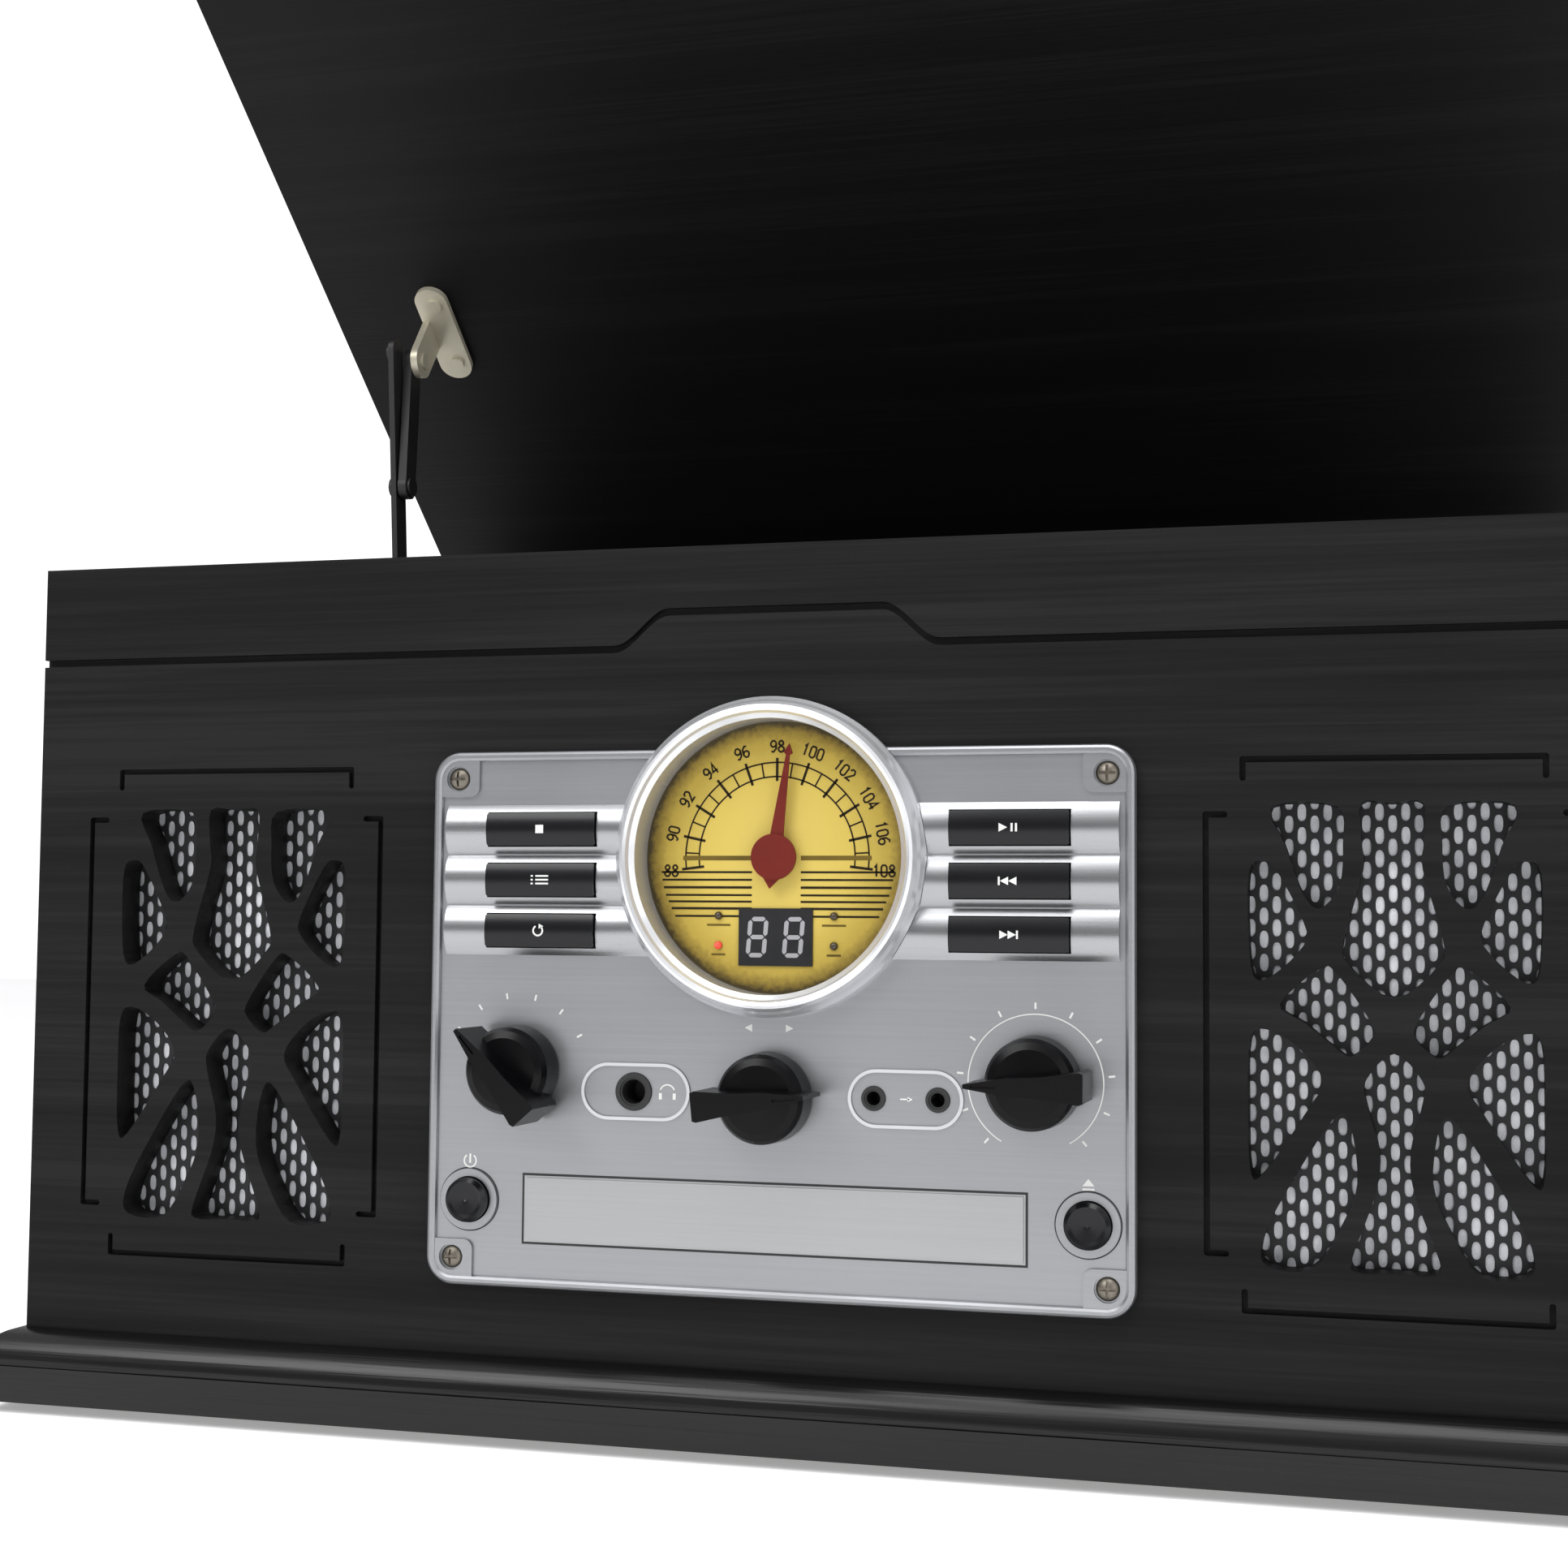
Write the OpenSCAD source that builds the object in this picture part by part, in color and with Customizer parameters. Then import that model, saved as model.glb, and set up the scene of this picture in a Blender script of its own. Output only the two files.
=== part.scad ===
// Stereo music centre: a wood-grained cabinet with a lidded turntable, a dial radio,
// a CD drawer and two speakers behind fretwork grilles.
// Frame: X to the right, Y to the rear, Z up. The origin is on the floor, under the
// middle of the cabinet. The lid is drawn open, held by its stay.

/* [Cabinet] */
// Width of the cabinet, without the plinth moulding
body_w = 433; // [425:1:480]
// Depth of the cabinet, front face to back face
body_d = 330; // [324:1:380]
// Height of the boards, from the underside to the rim under the lid
body_h = 233; // [228:1:270]
// Thickness of the front board
front_t = 9; // [7:0.5:12]
// Thickness of each side board
side_t = 12; // [9:0.5:15]
// Thickness of the back board
back_t = 9; // [6:0.5:12]
// Thickness of the bottom board
bottom_t = 9; // [6:0.5:12]
// Radius of a rubber foot
foot_r = 11; // [8:0.5:14]
// Height of a rubber foot
foot_h = 3; // [2:0.5:8]
// Distance of a foot's centre from the outside of the cabinet
foot_inset = 30; // [20:1:45]

/* [Lid] */
// Thickness of the lid board
lid_t = 12; // [9:0.5:15]
// Gap between the closed lid and the rim
lid_gap = 1; // [0.5:0.1:2]
// Angle at which the stay holds the lid open
lid_open = 37; // [30:1:45]
// Width of a hinge
hinge_w = 42; // [30:1:60]
// Distance of each hinge from the middle
hinge_x = 130; // [90:1:160]
// Radius of a hinge knuckle
knuckle_r = 3; // [2.5:0.1:4]
// Radius of a hinge pin
hinge_pin_r = 1.5; // [1:0.1:2]
// Thickness of a hinge leaf
leaf_t = 1.2; // [0.8:0.1:1.6]

/* [Lid stay] */
// Distance of the arm's plane from the inside of the left board
stay_inset = 15.5; // [14:0.5:20]
// Place of the arm's pivot behind the middle of the cabinet
stay_pivot_y = 12; // [10:0.5:16]
// Depth of the arm's pivot under the rim
stay_pivot_down = 20; // [18:0.5:21]
// Distance from the lid's hinge to the pivot on the lid, along the lid
stay_lid_reach = 188; // [186:0.5:190]
// Distance of that pivot under the lid
stay_lid_drop = 16; // [15:0.5:17]
// Length of the link between its pivots
link_len = 46; // [45:0.25:47]
// Width of the arm and of the link
stay_w = 8; // [6:0.5:9]
// Length of the arm from its pivot to its stop rivet
arm_reach = 128; // [120:1:130]
// Radius of a stay pin
stay_pin_r = 1.6; // [1.2:0.1:2]

/* [Plinth] */
// How far the plinth moulding stands out
plinth_out = 9; // [7:0.5:14]
// Height of its flat lower band
plinth_band = 10.6; // [8:0.2:16]
// Radius of its rounded upper edge
plinth_round = 8.6; // [5:0.2:9]
// Depth of the shadow line between the two
plinth_quirk = 0.8; // [0.4:0.1:1.5]

/* [Front grooves] */
// Width of the decorative groove
groove_w = 2; // [1:0.1:3]
// Depth of the decorative groove
groove_deep = 2; // [1:0.1:3]
// Depth of the groove's outer runs under the rim
groove_drop = 26.9; // [22:0.5:32]
// Height of the raised middle run
groove_rise = 9.6; // [6:0.2:12]
// Half-length of the raised middle run
groove_flat = 29; // [20:1:40]
// Length of each curved ramp
groove_ramp = 15; // [10:1:24]
// Width of the fine bracket grooves round the grilles
bracket_w = 1.5; // [1:0.1:2.5]
// Length of their turned ends
bracket_turn = 4.5; // [3:0.5:7]

/* [Speaker grilles] */
// Height of the grilles' centre above the underside
grille_z = 108; // [100:1:112]
// Width of the fretwork
fret_w = 69; // [60:1:72]
// Height of the fretwork
fret_h = 113; // [100:1:118]
// Distance of the bracket grooves from the fretwork, sideways
bracket_gap_x = 9.9; // [7:0.1:11]
// Distance of the bracket grooves from the fretwork, up and down
bracket_gap_z = 10.4; // [7:0.1:12]
// Width of a slot in the perforated sheet
slot_w = 2; // [1.6:0.1:2.3]
// Height of a slot in the perforated sheet
slot_h = 4.1; // [3:0.1:4.4]
// Distance between two columns of slots
slot_pitch_x = 3.1; // [3:0.1:4]
// Distance between two slots in a column
slot_pitch_z = 5.7; // [5.2:0.1:7]
// Thickness of the perforated sheet
sheet_t = 0.8; // [0.5:0.1:1.2]
// Gap between a loudspeaker's frame and the side board
driver_gap = 2.25; // [1.25:0.5:8.25]
// Depth of a loudspeaker's basket
basket_deep = 30; // [24:1:40]

/* [Control panel] */
// Width of the silver panel
panel_w = 188; // [186:1:192]
// Height of the silver panel
panel_h = 141.3; // [139:0.5:145]
// Height of its lower edge above the underside
panel_lift = 37.7; // [30:0.1:40]
// Radius of its corners
panel_r = 7.5; // [5:0.5:10]
// Thickness of its floor
floor_t = 1.8; // [1.4:0.1:2.4]
// Height of its rim above the front board
rim_t = 3.2; // [2.8:0.1:4]
// Width of its rounded rim
rim_w = 2.6; // [2:0.1:3.5]
// Width of a raised corner tab
tab_w = 13; // [11:0.5:14]
// Height of a raised corner tab
tab_h = 12; // [10:0.5:13]
// Height of a chrome strip's pitch
strip_pitch = 13.4; // [12.6:0.1:13.6]
// Height of the lowest strip's lower edge above the panel's edge
strip_z = 87; // [85:0.5:88]
// How far a strip bulges out of the panel's floor
strip_bulge = 2.2; // [1.5:0.1:2.6]
// Distance of a key's centre from the middle
key_x = 62.6; // [61:0.1:65]
// Width of a key
key_w = 30.4; // [24:0.1:32]
// Height of a key
key_h = 8.7; // [7:0.1:9.5]
// Travel of a key
key_travel = 1.2; // [0.8:0.1:1.3]
// Clearance round keys, buttons and the drawer's front
play = 0.3; // [0.2:0.05:0.4]
// Radius of a round push button
round_r = 5.8; // [5:0.1:6.2]
// Distance of the round buttons from the middle
round_x = 82.2; // [81:0.1:83]
// Height of the round buttons above the panel's edge
round_z = 22.5; // [21:0.5:24]
// Outer radius of a button's bright ring
ring_r = 8; // [7.6:0.1:8.6]

/* [Dial] */
// Height of the dial's centre above the panel's edge
dial_z = 113.3; // [112:0.1:114]
// Outer radius of the bezel
bezel_r = 41.4; // [40:0.1:42]
// Inner radius of the bezel
bezel_in = 35.6; // [34:0.1:36]
// How far the bezel stands out of the front board
bezel_out = 9; // [7:0.5:12]
// Depth of the dial's face behind the front of the board
dial_deep = 4; // [3:0.1:4.5]
// Length of the needle from its hub
needle_len = 29.8; // [26:0.1:31]
// Angle of the needle, clockwise from upright
needle_turn = 7.7; // [-90:0.1:90]
// Radius of the needle's hub
hub_r = 6; // [4:0.5:8]
// Width of the two-digit display
display_w = 20; // [18:0.5:22]
// Height of the two-digit display
display_h = 15; // [13:0.5:16]
// Height of the display's centre above the panel's edge
display_z = 92.5; // [91:0.5:94]
// Turns of the tuning knob for one turn of the needle
cord_ratio = 3; // [2.5:0.5:3]
// Radius at which the dial cord runs on the tuning shaft
cord_pulley_r = 6; // [5:0.1:6.2]

/* [Knobs] */
// Distance of the outer knobs from the middle
knob_x = 69; // [67:0.5:71]
// Height of the outer knobs above the panel's edge
knob_z = 57; // [56:0.5:59]
// Height of the tuning knob above the panel's edge
tuning_z = 51.5; // [51:0.5:53]
// Radius of a knob's round base
knob_r = 11.7; // [10:0.1:12.5]
// Length of a knob from the panel outwards
knob_len = 19.5; // [16:0.5:24]
// Height of the round base
knob_base = 10; // [8:0.5:12]
// Reach of the pointer's tip and tail from the axis
pointer_reach = 14.6; // [13:0.1:16.5]
// Width of the pointer's blunt tail
pointer_w = 7; // [5:0.5:9]
// Radius of a control shaft
shaft_r = 3; // [2.5:0.1:3.2]
// Running clearance of shafts and pins
run_fit = 0.05; // [0.02:0.01:0.08]
// Angle of the function knob's tip, anticlockwise from the right
function_turn = 131; // [0:1:360]
// Angle of the tuning knob's tip
tuning_turn = 6; // [0:1:360]
// Angle of the volume knob's tip
volume_turn = 180; // [0:1:360]

/* [Sockets] */
// Distance of the socket frames from the middle
socket_x = 36; // [35:0.5:37]
// Height of the sockets above the panel's edge
socket_z = 52; // [51:0.5:53]
// Radius of the bore for a 3.5 mm plug
plug_r = 1.8; // [1.7:0.05:1.9]
// Half the distance between the two small sockets
socket_half = 8.3; // [7.5:0.1:9]

/* [CD drawer] */
// Width of the drawer's front
door_w = 133.2; // [131:0.1:136]
// Height of the drawer's front
door_h = 17.3; // [16.5:0.1:18]
// Height of its centre above the panel's edge
door_z = 20.65; // [20:0.05:21]
// Thickness of the drawer's front
door_t = 3; // [2:0.1:3.5]
// Width of the tray
tray_w = 128; // [126:0.5:129]
// Length of the tray
tray_len = 150; // [145:1:160]
// Height of the tray
tray_h = 9; // [7:0.5:10]
// Radius of the recess for a disc
disc_r = 61; // [60.5:0.1:62]
// Depth of the recess for a disc
disc_deep = 3; // [1.5:0.1:3.5]

/* [Turntable] */
// Depth of the deck under the rim
well_deep = 52; // [50:0.5:58]
// Thickness of the deck board
deck_t = 9; // [6:0.5:12]
// Place of the platter's centre, left of the middle
platter_x = 25; // [20:1:28]
// Place of the platter's centre in front of the middle
platter_y = 1; // [0:1:4]
// Radius of the platter
platter_r = 100; // [95:1:105]
// Height of the platter's top above the deck
platter_h = 14; // [13:0.5:16]
// Thickness of the platter's plate
platter_t = 4; // [3:0.5:5]
// Radius of the rim that the belt drives
drive_r = 62; // [58:0.5:66]
// Radius of the motor's pulley
pulley_r = 6.2; // [5:0.1:8]
// Thickness of the slip mat
mat_t = 2; // [1:0.5:3]
// Radius of the record spindle
spindle_r = 3.55; // [3.4:0.05:3.6]
// Height of the spindle above the mat
spindle_h = 9; // [7:0.5:12]
// Place of the tonearm's pivot, right of the middle
arm_x = 150; // [148:1:156]
// Length of the tonearm from its pivot to the stylus
arm_len = 205; // [200:1:208]
// How far in front of the middle the parked stylus stands
arm_front = 130; // [126:1:134]
// Height of the tonearm's axis above the deck
arm_z = 30; // [29:0.5:31]
// Radius of the tonearm's tube
tube_r = 3.2; // [2.5:0.1:4]
// Angle of the parked arm, clockwise from the forward direction seen from above
arm_park = -4; // [-6:0.5:-2]

/* [Hidden] */
$fn = 48;
tiny = 0.01;

// Main planes
front_y = -body_d / 2;
back_y = body_d / 2;
base_z = foot_h;
rim_z = base_z + body_h;
half_w = body_w / 2;
inner_w = half_w - side_t;
panel_z = base_z + panel_lift;
deck_z = rim_z - well_deep;
floor_z = base_z + bottom_t;
board_back = front_y + front_t;
grille_x = (half_w + panel_w / 2) / 2;
driver_r = inner_w - grille_x - driver_gap;
arm_y = arm_len - arm_front;

// Helpers
module box(x0, x1, y0, y1, z0, z1) {
  translate([x0, y0, z0]) cube([x1 - x0, y1 - y0, z1 - z0]);
}
// A shape drawn in X and Z, standing upright from depth y0 to depth y1
module upright(y0, y1) {
  translate([0, y1, 0]) rotate([90, 0, 0]) linear_extrude(y1 - y0) children();
}
// A round bar along Y
module bar_y(x, z, y0, y1, r) {
  translate([x, y1, z]) rotate([90, 0, 0]) cylinder(r = r, h = y1 - y0);
}
// A round bar along X
module bar_x(y, z, x0, x1, r) {
  translate([x0, y, z]) rotate([0, 90, 0]) cylinder(r = r, h = x1 - x0);
}
// A round bar along Z
module bar_z(x, y, z0, z1, r) {
  translate([x, y, z0]) cylinder(r = r, h = z1 - z0);
}
module both_sides() {
  children();
  mirror([1, 0, 0]) children();
}
module rounded(w, h, r) {
  square([w - 2 * r, h], center = true);
  square([w, h - 2 * r], center = true);
  for (i = [-1, 1], k = [-1, 1]) translate([i * (w / 2 - r), k * (h / 2 - r)]) circle(r);
}
// A stroke with round ends between two points
module stroke(a, b, w) {
  d = b - a;
  translate(a) rotate(atan2(d[1], d[0])) translate([0, -w / 2]) square([norm(d), w]);
  translate(a) circle(d = w);
  translate(b) circle(d = w);
}
// A closed smooth curve through a few points
function bend(a, b, c, d, t) =
  0.5 * (2 * b + (c - a) * t + (2 * a - 5 * b + 4 * c - d) * t * t + (3 * b - a - 3 * c + d) * t * t * t);
function smooth(p, steps) = let (n = len(p)) [
  for (i = [0:n - 1], k = [0:steps - 1])
    bend(p[(i + n - 1) % n], p[i], p[(i + 1) % n], p[(i + 2) % n], k / steps)
];
function turned(v, a) = [v[0] * cos(a) - v[1] * sin(a), v[0] * sin(a) + v[1] * cos(a)];
function ease(t) = t * t * (3 - 2 * t);

// Cabinet boards
dial_c = panel_z + dial_z;
cut_margin = 14;
cut_low = 9.5;
cut_high = 10.3;
dial_hole = 38;
button_hole = 7.6;

// Fretwork: half of each symmetric outline, and whole outlines of the left-hand openings,
// drawn 69 wide and 113 high about the grille's centre
fret_drawn = [69, 113];
fret_steps = 4;
leaf_top = [[-28.5, 55.3], [-13, 55.3], [-11.6, 46], [-12.5, 36], [-17, 30.5], [-21, 33.5], [-25.5, 46]];
leaf_upper = [[-34, 39.5], [-31, 42], [-27.6, 40], [-21, 27], [-21, 21.5], [-28.3, 14.2], [-33, 13.8],
  [-34.3, 25]];
lozenge = [[-26.8, 7.2], [-17.5, 15.8], [-13.5, 15], [-5.3, 3], [-5.3, -1], [-10, -5.2], [-14, -3],
  [-21, 2.7]];
leaf_lower = [[-34, -1.8], [-30, 1], [-22.5, -3.2], [-16.8, -11], [-20.5, -18.5], [-31, -34], [-34,
  -33], [-34.5, -17.7]];
leaf_base = [[-14.5, -20.5], [-10.5, -21], [-8.8, -35.5], [-13, -47], [-19.5, -56.3], [-30, -56],
  [-31.3, -50.5], [-26, -39]];
vase_half = [[0, 56], [7.2, 56], [7.3, 46.4], [7, 40], [11.6, 23], [10.6, 17], [0, 8.8]];
flask_half = [[0, -4.3], [6.4, -10.5], [6.6, -16], [3.6, -28], [4.6, -38], [10, -53], [9, -56.5], [0,
  -56.5]];
function mirrored(p) = concat(p, [for (i = [len(p) - 2:-1:1]) [-p[i][0], p[i][1]]]);
module fretwork() {
  scale([fret_w / fret_drawn[0], fret_h / fret_drawn[1]]) {
    both_sides()
      for (p = [leaf_top, leaf_upper, lozenge, leaf_lower, leaf_base]) polygon(smooth(p, fret_steps));
    for (p = [vase_half, flask_half]) polygon(smooth(mirrored(p), fret_steps));
  }
}
// Four fine grooves framing a grille, each with short turned ends
module brackets() {
  x = fret_w / 2 + bracket_gap_x;
  z = fret_h / 2 + bracket_gap_z;
  t = bracket_turn;
  for (s = [-1, 1]) {
    stroke([-x + 2 * t, s * z], [x - 2 * t, s * z], bracket_w);
    stroke([s * x, -z + 3 * t], [s * x, z - 3 * t], bracket_w);
    for (e = [-1, 1]) {
      stroke([e * (x - 2 * t), s * z], [e * (x - 2 * t), s * (z - t)], bracket_w);
      stroke([s * x, e * (z - 3 * t)], [s * (x - t), e * (z - 3 * t)], bracket_w);
    }
  }
}
// The decorative groove: level, rising in a curve to the middle, and down again
module front_groove() {
  z = rim_z - groove_drop;
  n = 12;
  ramp = [for (i = [0:n]) [-groove_flat - groove_ramp + groove_ramp * i / n, z +
    groove_rise * ease(i / n)]];
  line = concat([[-half_w - 1, z]], ramp, [for (i = [n:-1:0]) [-ramp[i][0], ramp[i][1]]], [[half_w + 1,
    z]]);
  m = len(line) - 1;
  upper = [for (p = line) p + [0, groove_w / 2]];
  lower = [for (i = [m:-1:0]) line[i] - [0, groove_w / 2]];
  polygon(concat(upper, lower));
}
module panel_cutout() {
  z0 = panel_z + cut_low;
  z1 = panel_z + panel_h - cut_high;
  translate([0, (z0 + z1) / 2]) square([panel_w - 2 * cut_margin, z1 - z0], center = true);
  for (s = [-1, 1]) translate([s * round_x, panel_z + round_z]) circle(button_hole);
}
module front_board() color("#2a2a2c") difference() {
  upright(front_y, board_back) difference() {
    translate([-half_w, base_z]) square([body_w, body_h]);
    panel_cutout();
    for (s = [-1, 1]) translate([s * grille_x, base_z + grille_z]) fretwork();
  }
  bar_y(0, dial_c, front_y - 1, board_back + 1, dial_hole);
  upright(front_y - 1, front_y + groove_deep) {
    front_groove();
    for (s = [-1, 1]) translate([s * grille_x, base_z + grille_z]) brackets();
  }
}
module side_board() box(inner_w, half_w, board_back, back_y, base_z, rim_z);
module side_board_right() color("#2a2a2c") side_board();
module side_board_left() color("#2a2a2c") mirror([1, 0, 0]) side_board();

// Back board with vent slots, and holes for the rear sockets and the cord's gland
vent_w = 3;
vent_len = 50;
vent_pitch = 9;
vent_rows = 5;
vent_z = 120;
vent_x = 60;
rca_x = 120;
rca_z = 70;
rca_half = 9;
rca_hole = 5.2;
gland_x = -130;
gland_z = 55;
gland_r = 6;
module back_board() color("#303032") difference() {
  upright(back_y - back_t, back_y) difference() {
    translate([-inner_w, base_z]) square([2 * inner_w, body_h]);
    for (s = [-1, 1], i = [0:vent_rows - 1])
      translate([s * vent_x, vent_z + i * vent_pitch]) square([vent_len, vent_w], center = true);
  }
  for (s = [-1, 1]) bar_y(rca_x + s * rca_half, rca_z, back_y - back_t - 1, back_y + 1, rca_hole);
  bar_y(gland_x, gland_z, back_y - back_t - 1, back_y + 1, gland_r);
  back_screws() bar_y(0, 0, -back_screw_len, 1, screw_shank + screw_fit);
}
module bottom_board() color("#6b5237")
  box(-inner_w, inner_w, board_back, back_y - back_t, base_z, floor_z);

// Plinth moulding: three mitred lengths of one profile
module plinth_profile() {
  square([plinth_out - plinth_quirk, plinth_band]);
  square([plinth_out, plinth_band - plinth_quirk]);
  translate([0, plinth_band]) {
    square([plinth_out - plinth_round, plinth_round]);
    intersection() {
      translate([plinth_out - plinth_round, 0]) circle(plinth_round);
      square([plinth_out, plinth_round]);
    }
  }
}
module plinth_front() intersection() {
  translate([-half_w - plinth_out, front_y, base_z]) rotate([90, 0, 90])
    linear_extrude(body_w + 2 * plinth_out) mirror([1, 0]) plinth_profile();
  linear_extrude(rim_z) polygon([
    [-half_w - plinth_out, front_y - plinth_out], [half_w + plinth_out, front_y - plinth_out],
    [half_w, front_y], [-half_w, front_y]
  ]);
}
module plinth_side() intersection() {
  translate([half_w, back_y, base_z]) rotate([90, 0, 0])
    linear_extrude(body_d + plinth_out) plinth_profile();
  linear_extrude(rim_z) polygon([
    [half_w, front_y], [half_w + plinth_out, front_y - plinth_out],
    [half_w + plinth_out, back_y], [half_w, back_y]
  ]);
}
module plinth_moulding() color("#26262a") {
  plinth_front();
  both_sides() plinth_side();
}
module rubber_feet() color("#141414")
  for (i = [-1, 1], k = [-1, 1])
    translate([i * (half_w - foot_inset), k * (body_d / 2 - foot_inset), 0])
      cylinder(r1 = foot_r - 1, r2 = foot_r, h = foot_h, $fn = 48);

// Deck board and the battens that carry it
rail_w = 15;
rail_front = board_back + sheet_t + 0.4;
deck_fit = 0.5;
platter_c = [-platter_x, -platter_y];
motor_away = drive_r + 18;
motor_angle = 125;
motor_c = platter_c + motor_away * [cos(motor_angle), sin(motor_angle)];
motor_hole = 10;
post_r = 9;
module deck_board() color("#1c1c1e") difference() {
  box(-inner_w + deck_fit, inner_w - deck_fit, board_back + deck_fit, back_y - back_t - deck_fit,
    deck_z - deck_t, deck_z);
  bar_z(platter_c[0], platter_c[1], deck_z - deck_t - 1, deck_z + 1, spindle_r + 1.5);
  bar_z(motor_c[0], motor_c[1], deck_z - deck_t - 1, deck_z + 1, motor_hole);
  bar_z(arm_x, arm_y, deck_z - deck_t - 1, deck_z + 1, post_r);
  bar_z(speed_at[0], speed_at[1], deck_z - deck_t - 1, deck_z + 1, shaft_r + run_fit);
}
module battens() color("#8a6a45") difference() {
  both_sides() {
    box(inner_w - rail_w, inner_w, rail_front, back_y - back_t, deck_z - deck_t - rail_w, deck_z - deck_t);
    box(inner_w - rail_w, inner_w, back_y - back_t - rail_w, back_y - back_t, floor_z, deck_z - deck_t);
  }
  back_screws() bar_y(0, 0, -back_screw_len, 1, screw_shank + screw_fit);
}

// Cross-head screws: four in the panel's tabs, six in the back
screw_r = 3;
screw_cap = 1.6;
screw_shank = 1.5;
screw_inset_x = 7;
screw_inset_z = 7.2;
back_screw_len = 19;
module back_screws() for (i = [-1, 1], k = [0:2])
  translate([i * (inner_w - 8), back_y, base_z + 22 + k * (body_h - well_deep - 42) / 2]) children();
module screw(long) {
  difference() {
    intersection() {
      cylinder(r = screw_r, h = screw_cap);
      translate([0, 0, screw_cap - 3.6]) sphere(3.6);
    }
    for (a = [0, 90]) rotate(a) translate([-2, -0.35, screw_cap - 0.9]) cube([4, 0.7, 2]);
  }
  translate([0, 0, -long]) cylinder(r = screw_shank, h = long + tiny);
}
module case_screws() color("#b9bbbd") {
  for (i = [-1, 1], z = [panel_z + screw_inset_z, panel_z + panel_h - screw_inset_z])
    translate([i * (panel_w / 2 - screw_inset_x), front_y - floor_t, z]) rotate([90, 0, 0]) screw(floor_t);
  back_screws() rotate([-90, 0, 0]) screw(back_screw_len - 1);
}

// Perforated sheets behind the fretwork, staggered slots inside a plain border
sheet_w = fret_w + 8;
sheet_h = fret_h + 8;
module slots() {
  cols = floor((fret_w / 2 + 1) / slot_pitch_x);
  rows = floor((fret_h / 2 + 1) / slot_pitch_z);
  for (i = [-cols:cols], k = [-rows:rows]) {
    lift = abs(i) % 2 == 0 ? 0 : slot_pitch_z / 2;
    translate([i * slot_pitch_x, k * slot_pitch_z - lift]) square([slot_w, slot_h], center = true);
  }
}
module speaker_sheets() color("#17181a")
  for (s = [-1, 1]) translate([s * grille_x, 0, base_z + grille_z]) upright(board_back, board_back +
    sheet_t)
    difference() {
      square([sheet_w, sheet_h], center = true);
      slots();
    }

// Loudspeakers: frame, magnet and cone, turned about their axis
driver_y = board_back + sheet_t;
magnet_r = 26;
magnet_h = 14;
coil_r = 14;
module driver() {
  r = driver_r;
  d = basket_deep;
  rotate_extrude() polygon([
    [r - 8, 0], [r, 0], [r, 3], [r - 7, 3], [magnet_r, d - 3], [magnet_r, d], [coil_r, d], [coil_r, d - 2],
    [magnet_r - 3, d - 2], [r - 9, 2]
  ]);
  translate([0, 0, d]) cylinder(r = magnet_r, h = magnet_h);
  rotate_extrude() polygon([[0, d - 12], [coil_r - 2, d - 9], [r - 12, 3], [r - 9.5, 1], [r - 9.5, 1.8],
    [r - 12, 4.2], [coil_r - 1, d - 8], [coil_r - 1, d], [coil_r - 2.5, d], [coil_r - 2.5, d - 8], [0,
      d - 11]]);
}
module speaker_drivers() color("#55585c")
  for (s = [-1, 1]) translate([s * grille_x, driver_y, base_z + grille_z]) rotate([-90, 0, 0]) driver();

// The control panel's own frame: X across, Y up from the panel's lower edge, Z out of the front
module on_front() translate([0, front_y, panel_z]) rotate([90, 0, 0]) children();
module peg(x, y, z0, z1, r) translate([x, y, z0]) cylinder(r = r, h = z1 - z0);
module keys_at() for (s = [-1, 1], k = [0:2]) translate([s * key_x, strip_z + (k +
  0.5) * strip_pitch]) children();

key_fit = [key_w + 2 * play, key_h + 2 * play];
bush_r = 3.5;
bush_hole = bush_r + 0.1;
nut_r = 5.2;
nut_t = 2;
dial_sleeve = bezel_in + 2;
big_jack_r = 5;
big_jack_x = -socket_x - 0.5;
small_jack_r = 3.2;
small_jack_x = socket_x;
button_out = 0.8;
screw_fit = 0.1;
screw_sink = 3.4;
led_x = 15.6;
led_up = [98, 90.3];
board_at = 9.5;
board_t = 1.6;

edge_in = 0.3;
module panel_outline() {
  translate([0, panel_h / 2]) rounded(panel_w - 2 * edge_in, panel_h - 2 * edge_in, panel_r - edge_in);
  translate([0, dial_z]) circle(bezel_r - 0.5);
}
module rim_profile() polygon([
  [0, 0], [rim_w, 0], [rim_w, rim_t - 1.1], [rim_w - 0.3, rim_t - 0.45], [rim_w - 0.9, rim_t],
  [0.9, rim_t], [0.3, rim_t - 0.45], [0, rim_t - 1.1]
]);
module rim_run(reach, span)
  translate([reach - rim_w, span / 2, 0]) rotate([90, 0, 0]) linear_extrude(span) rim_profile();
module rim() translate([0, panel_h / 2, 0]) {
  for (a = [0, 180]) rotate(a) rim_run(panel_w / 2, panel_h - 2 * panel_r);
  for (a = [90, 270]) rotate(a) rim_run(panel_h / 2, panel_w - 2 * panel_r);
  for (i = [0:3]) {
    sx = i == 0 || i == 3 ? 1 : -1;
    sy = i < 2 ? 1 : -1;
    translate([sx * (panel_w / 2 - panel_r), sy * (panel_h / 2 - panel_r), 0]) rotate(90 * i)
      rotate_extrude(angle = 90) translate([panel_r - rim_w, 0]) rim_profile();
  }
}
tab_round = 2.5;
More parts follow.
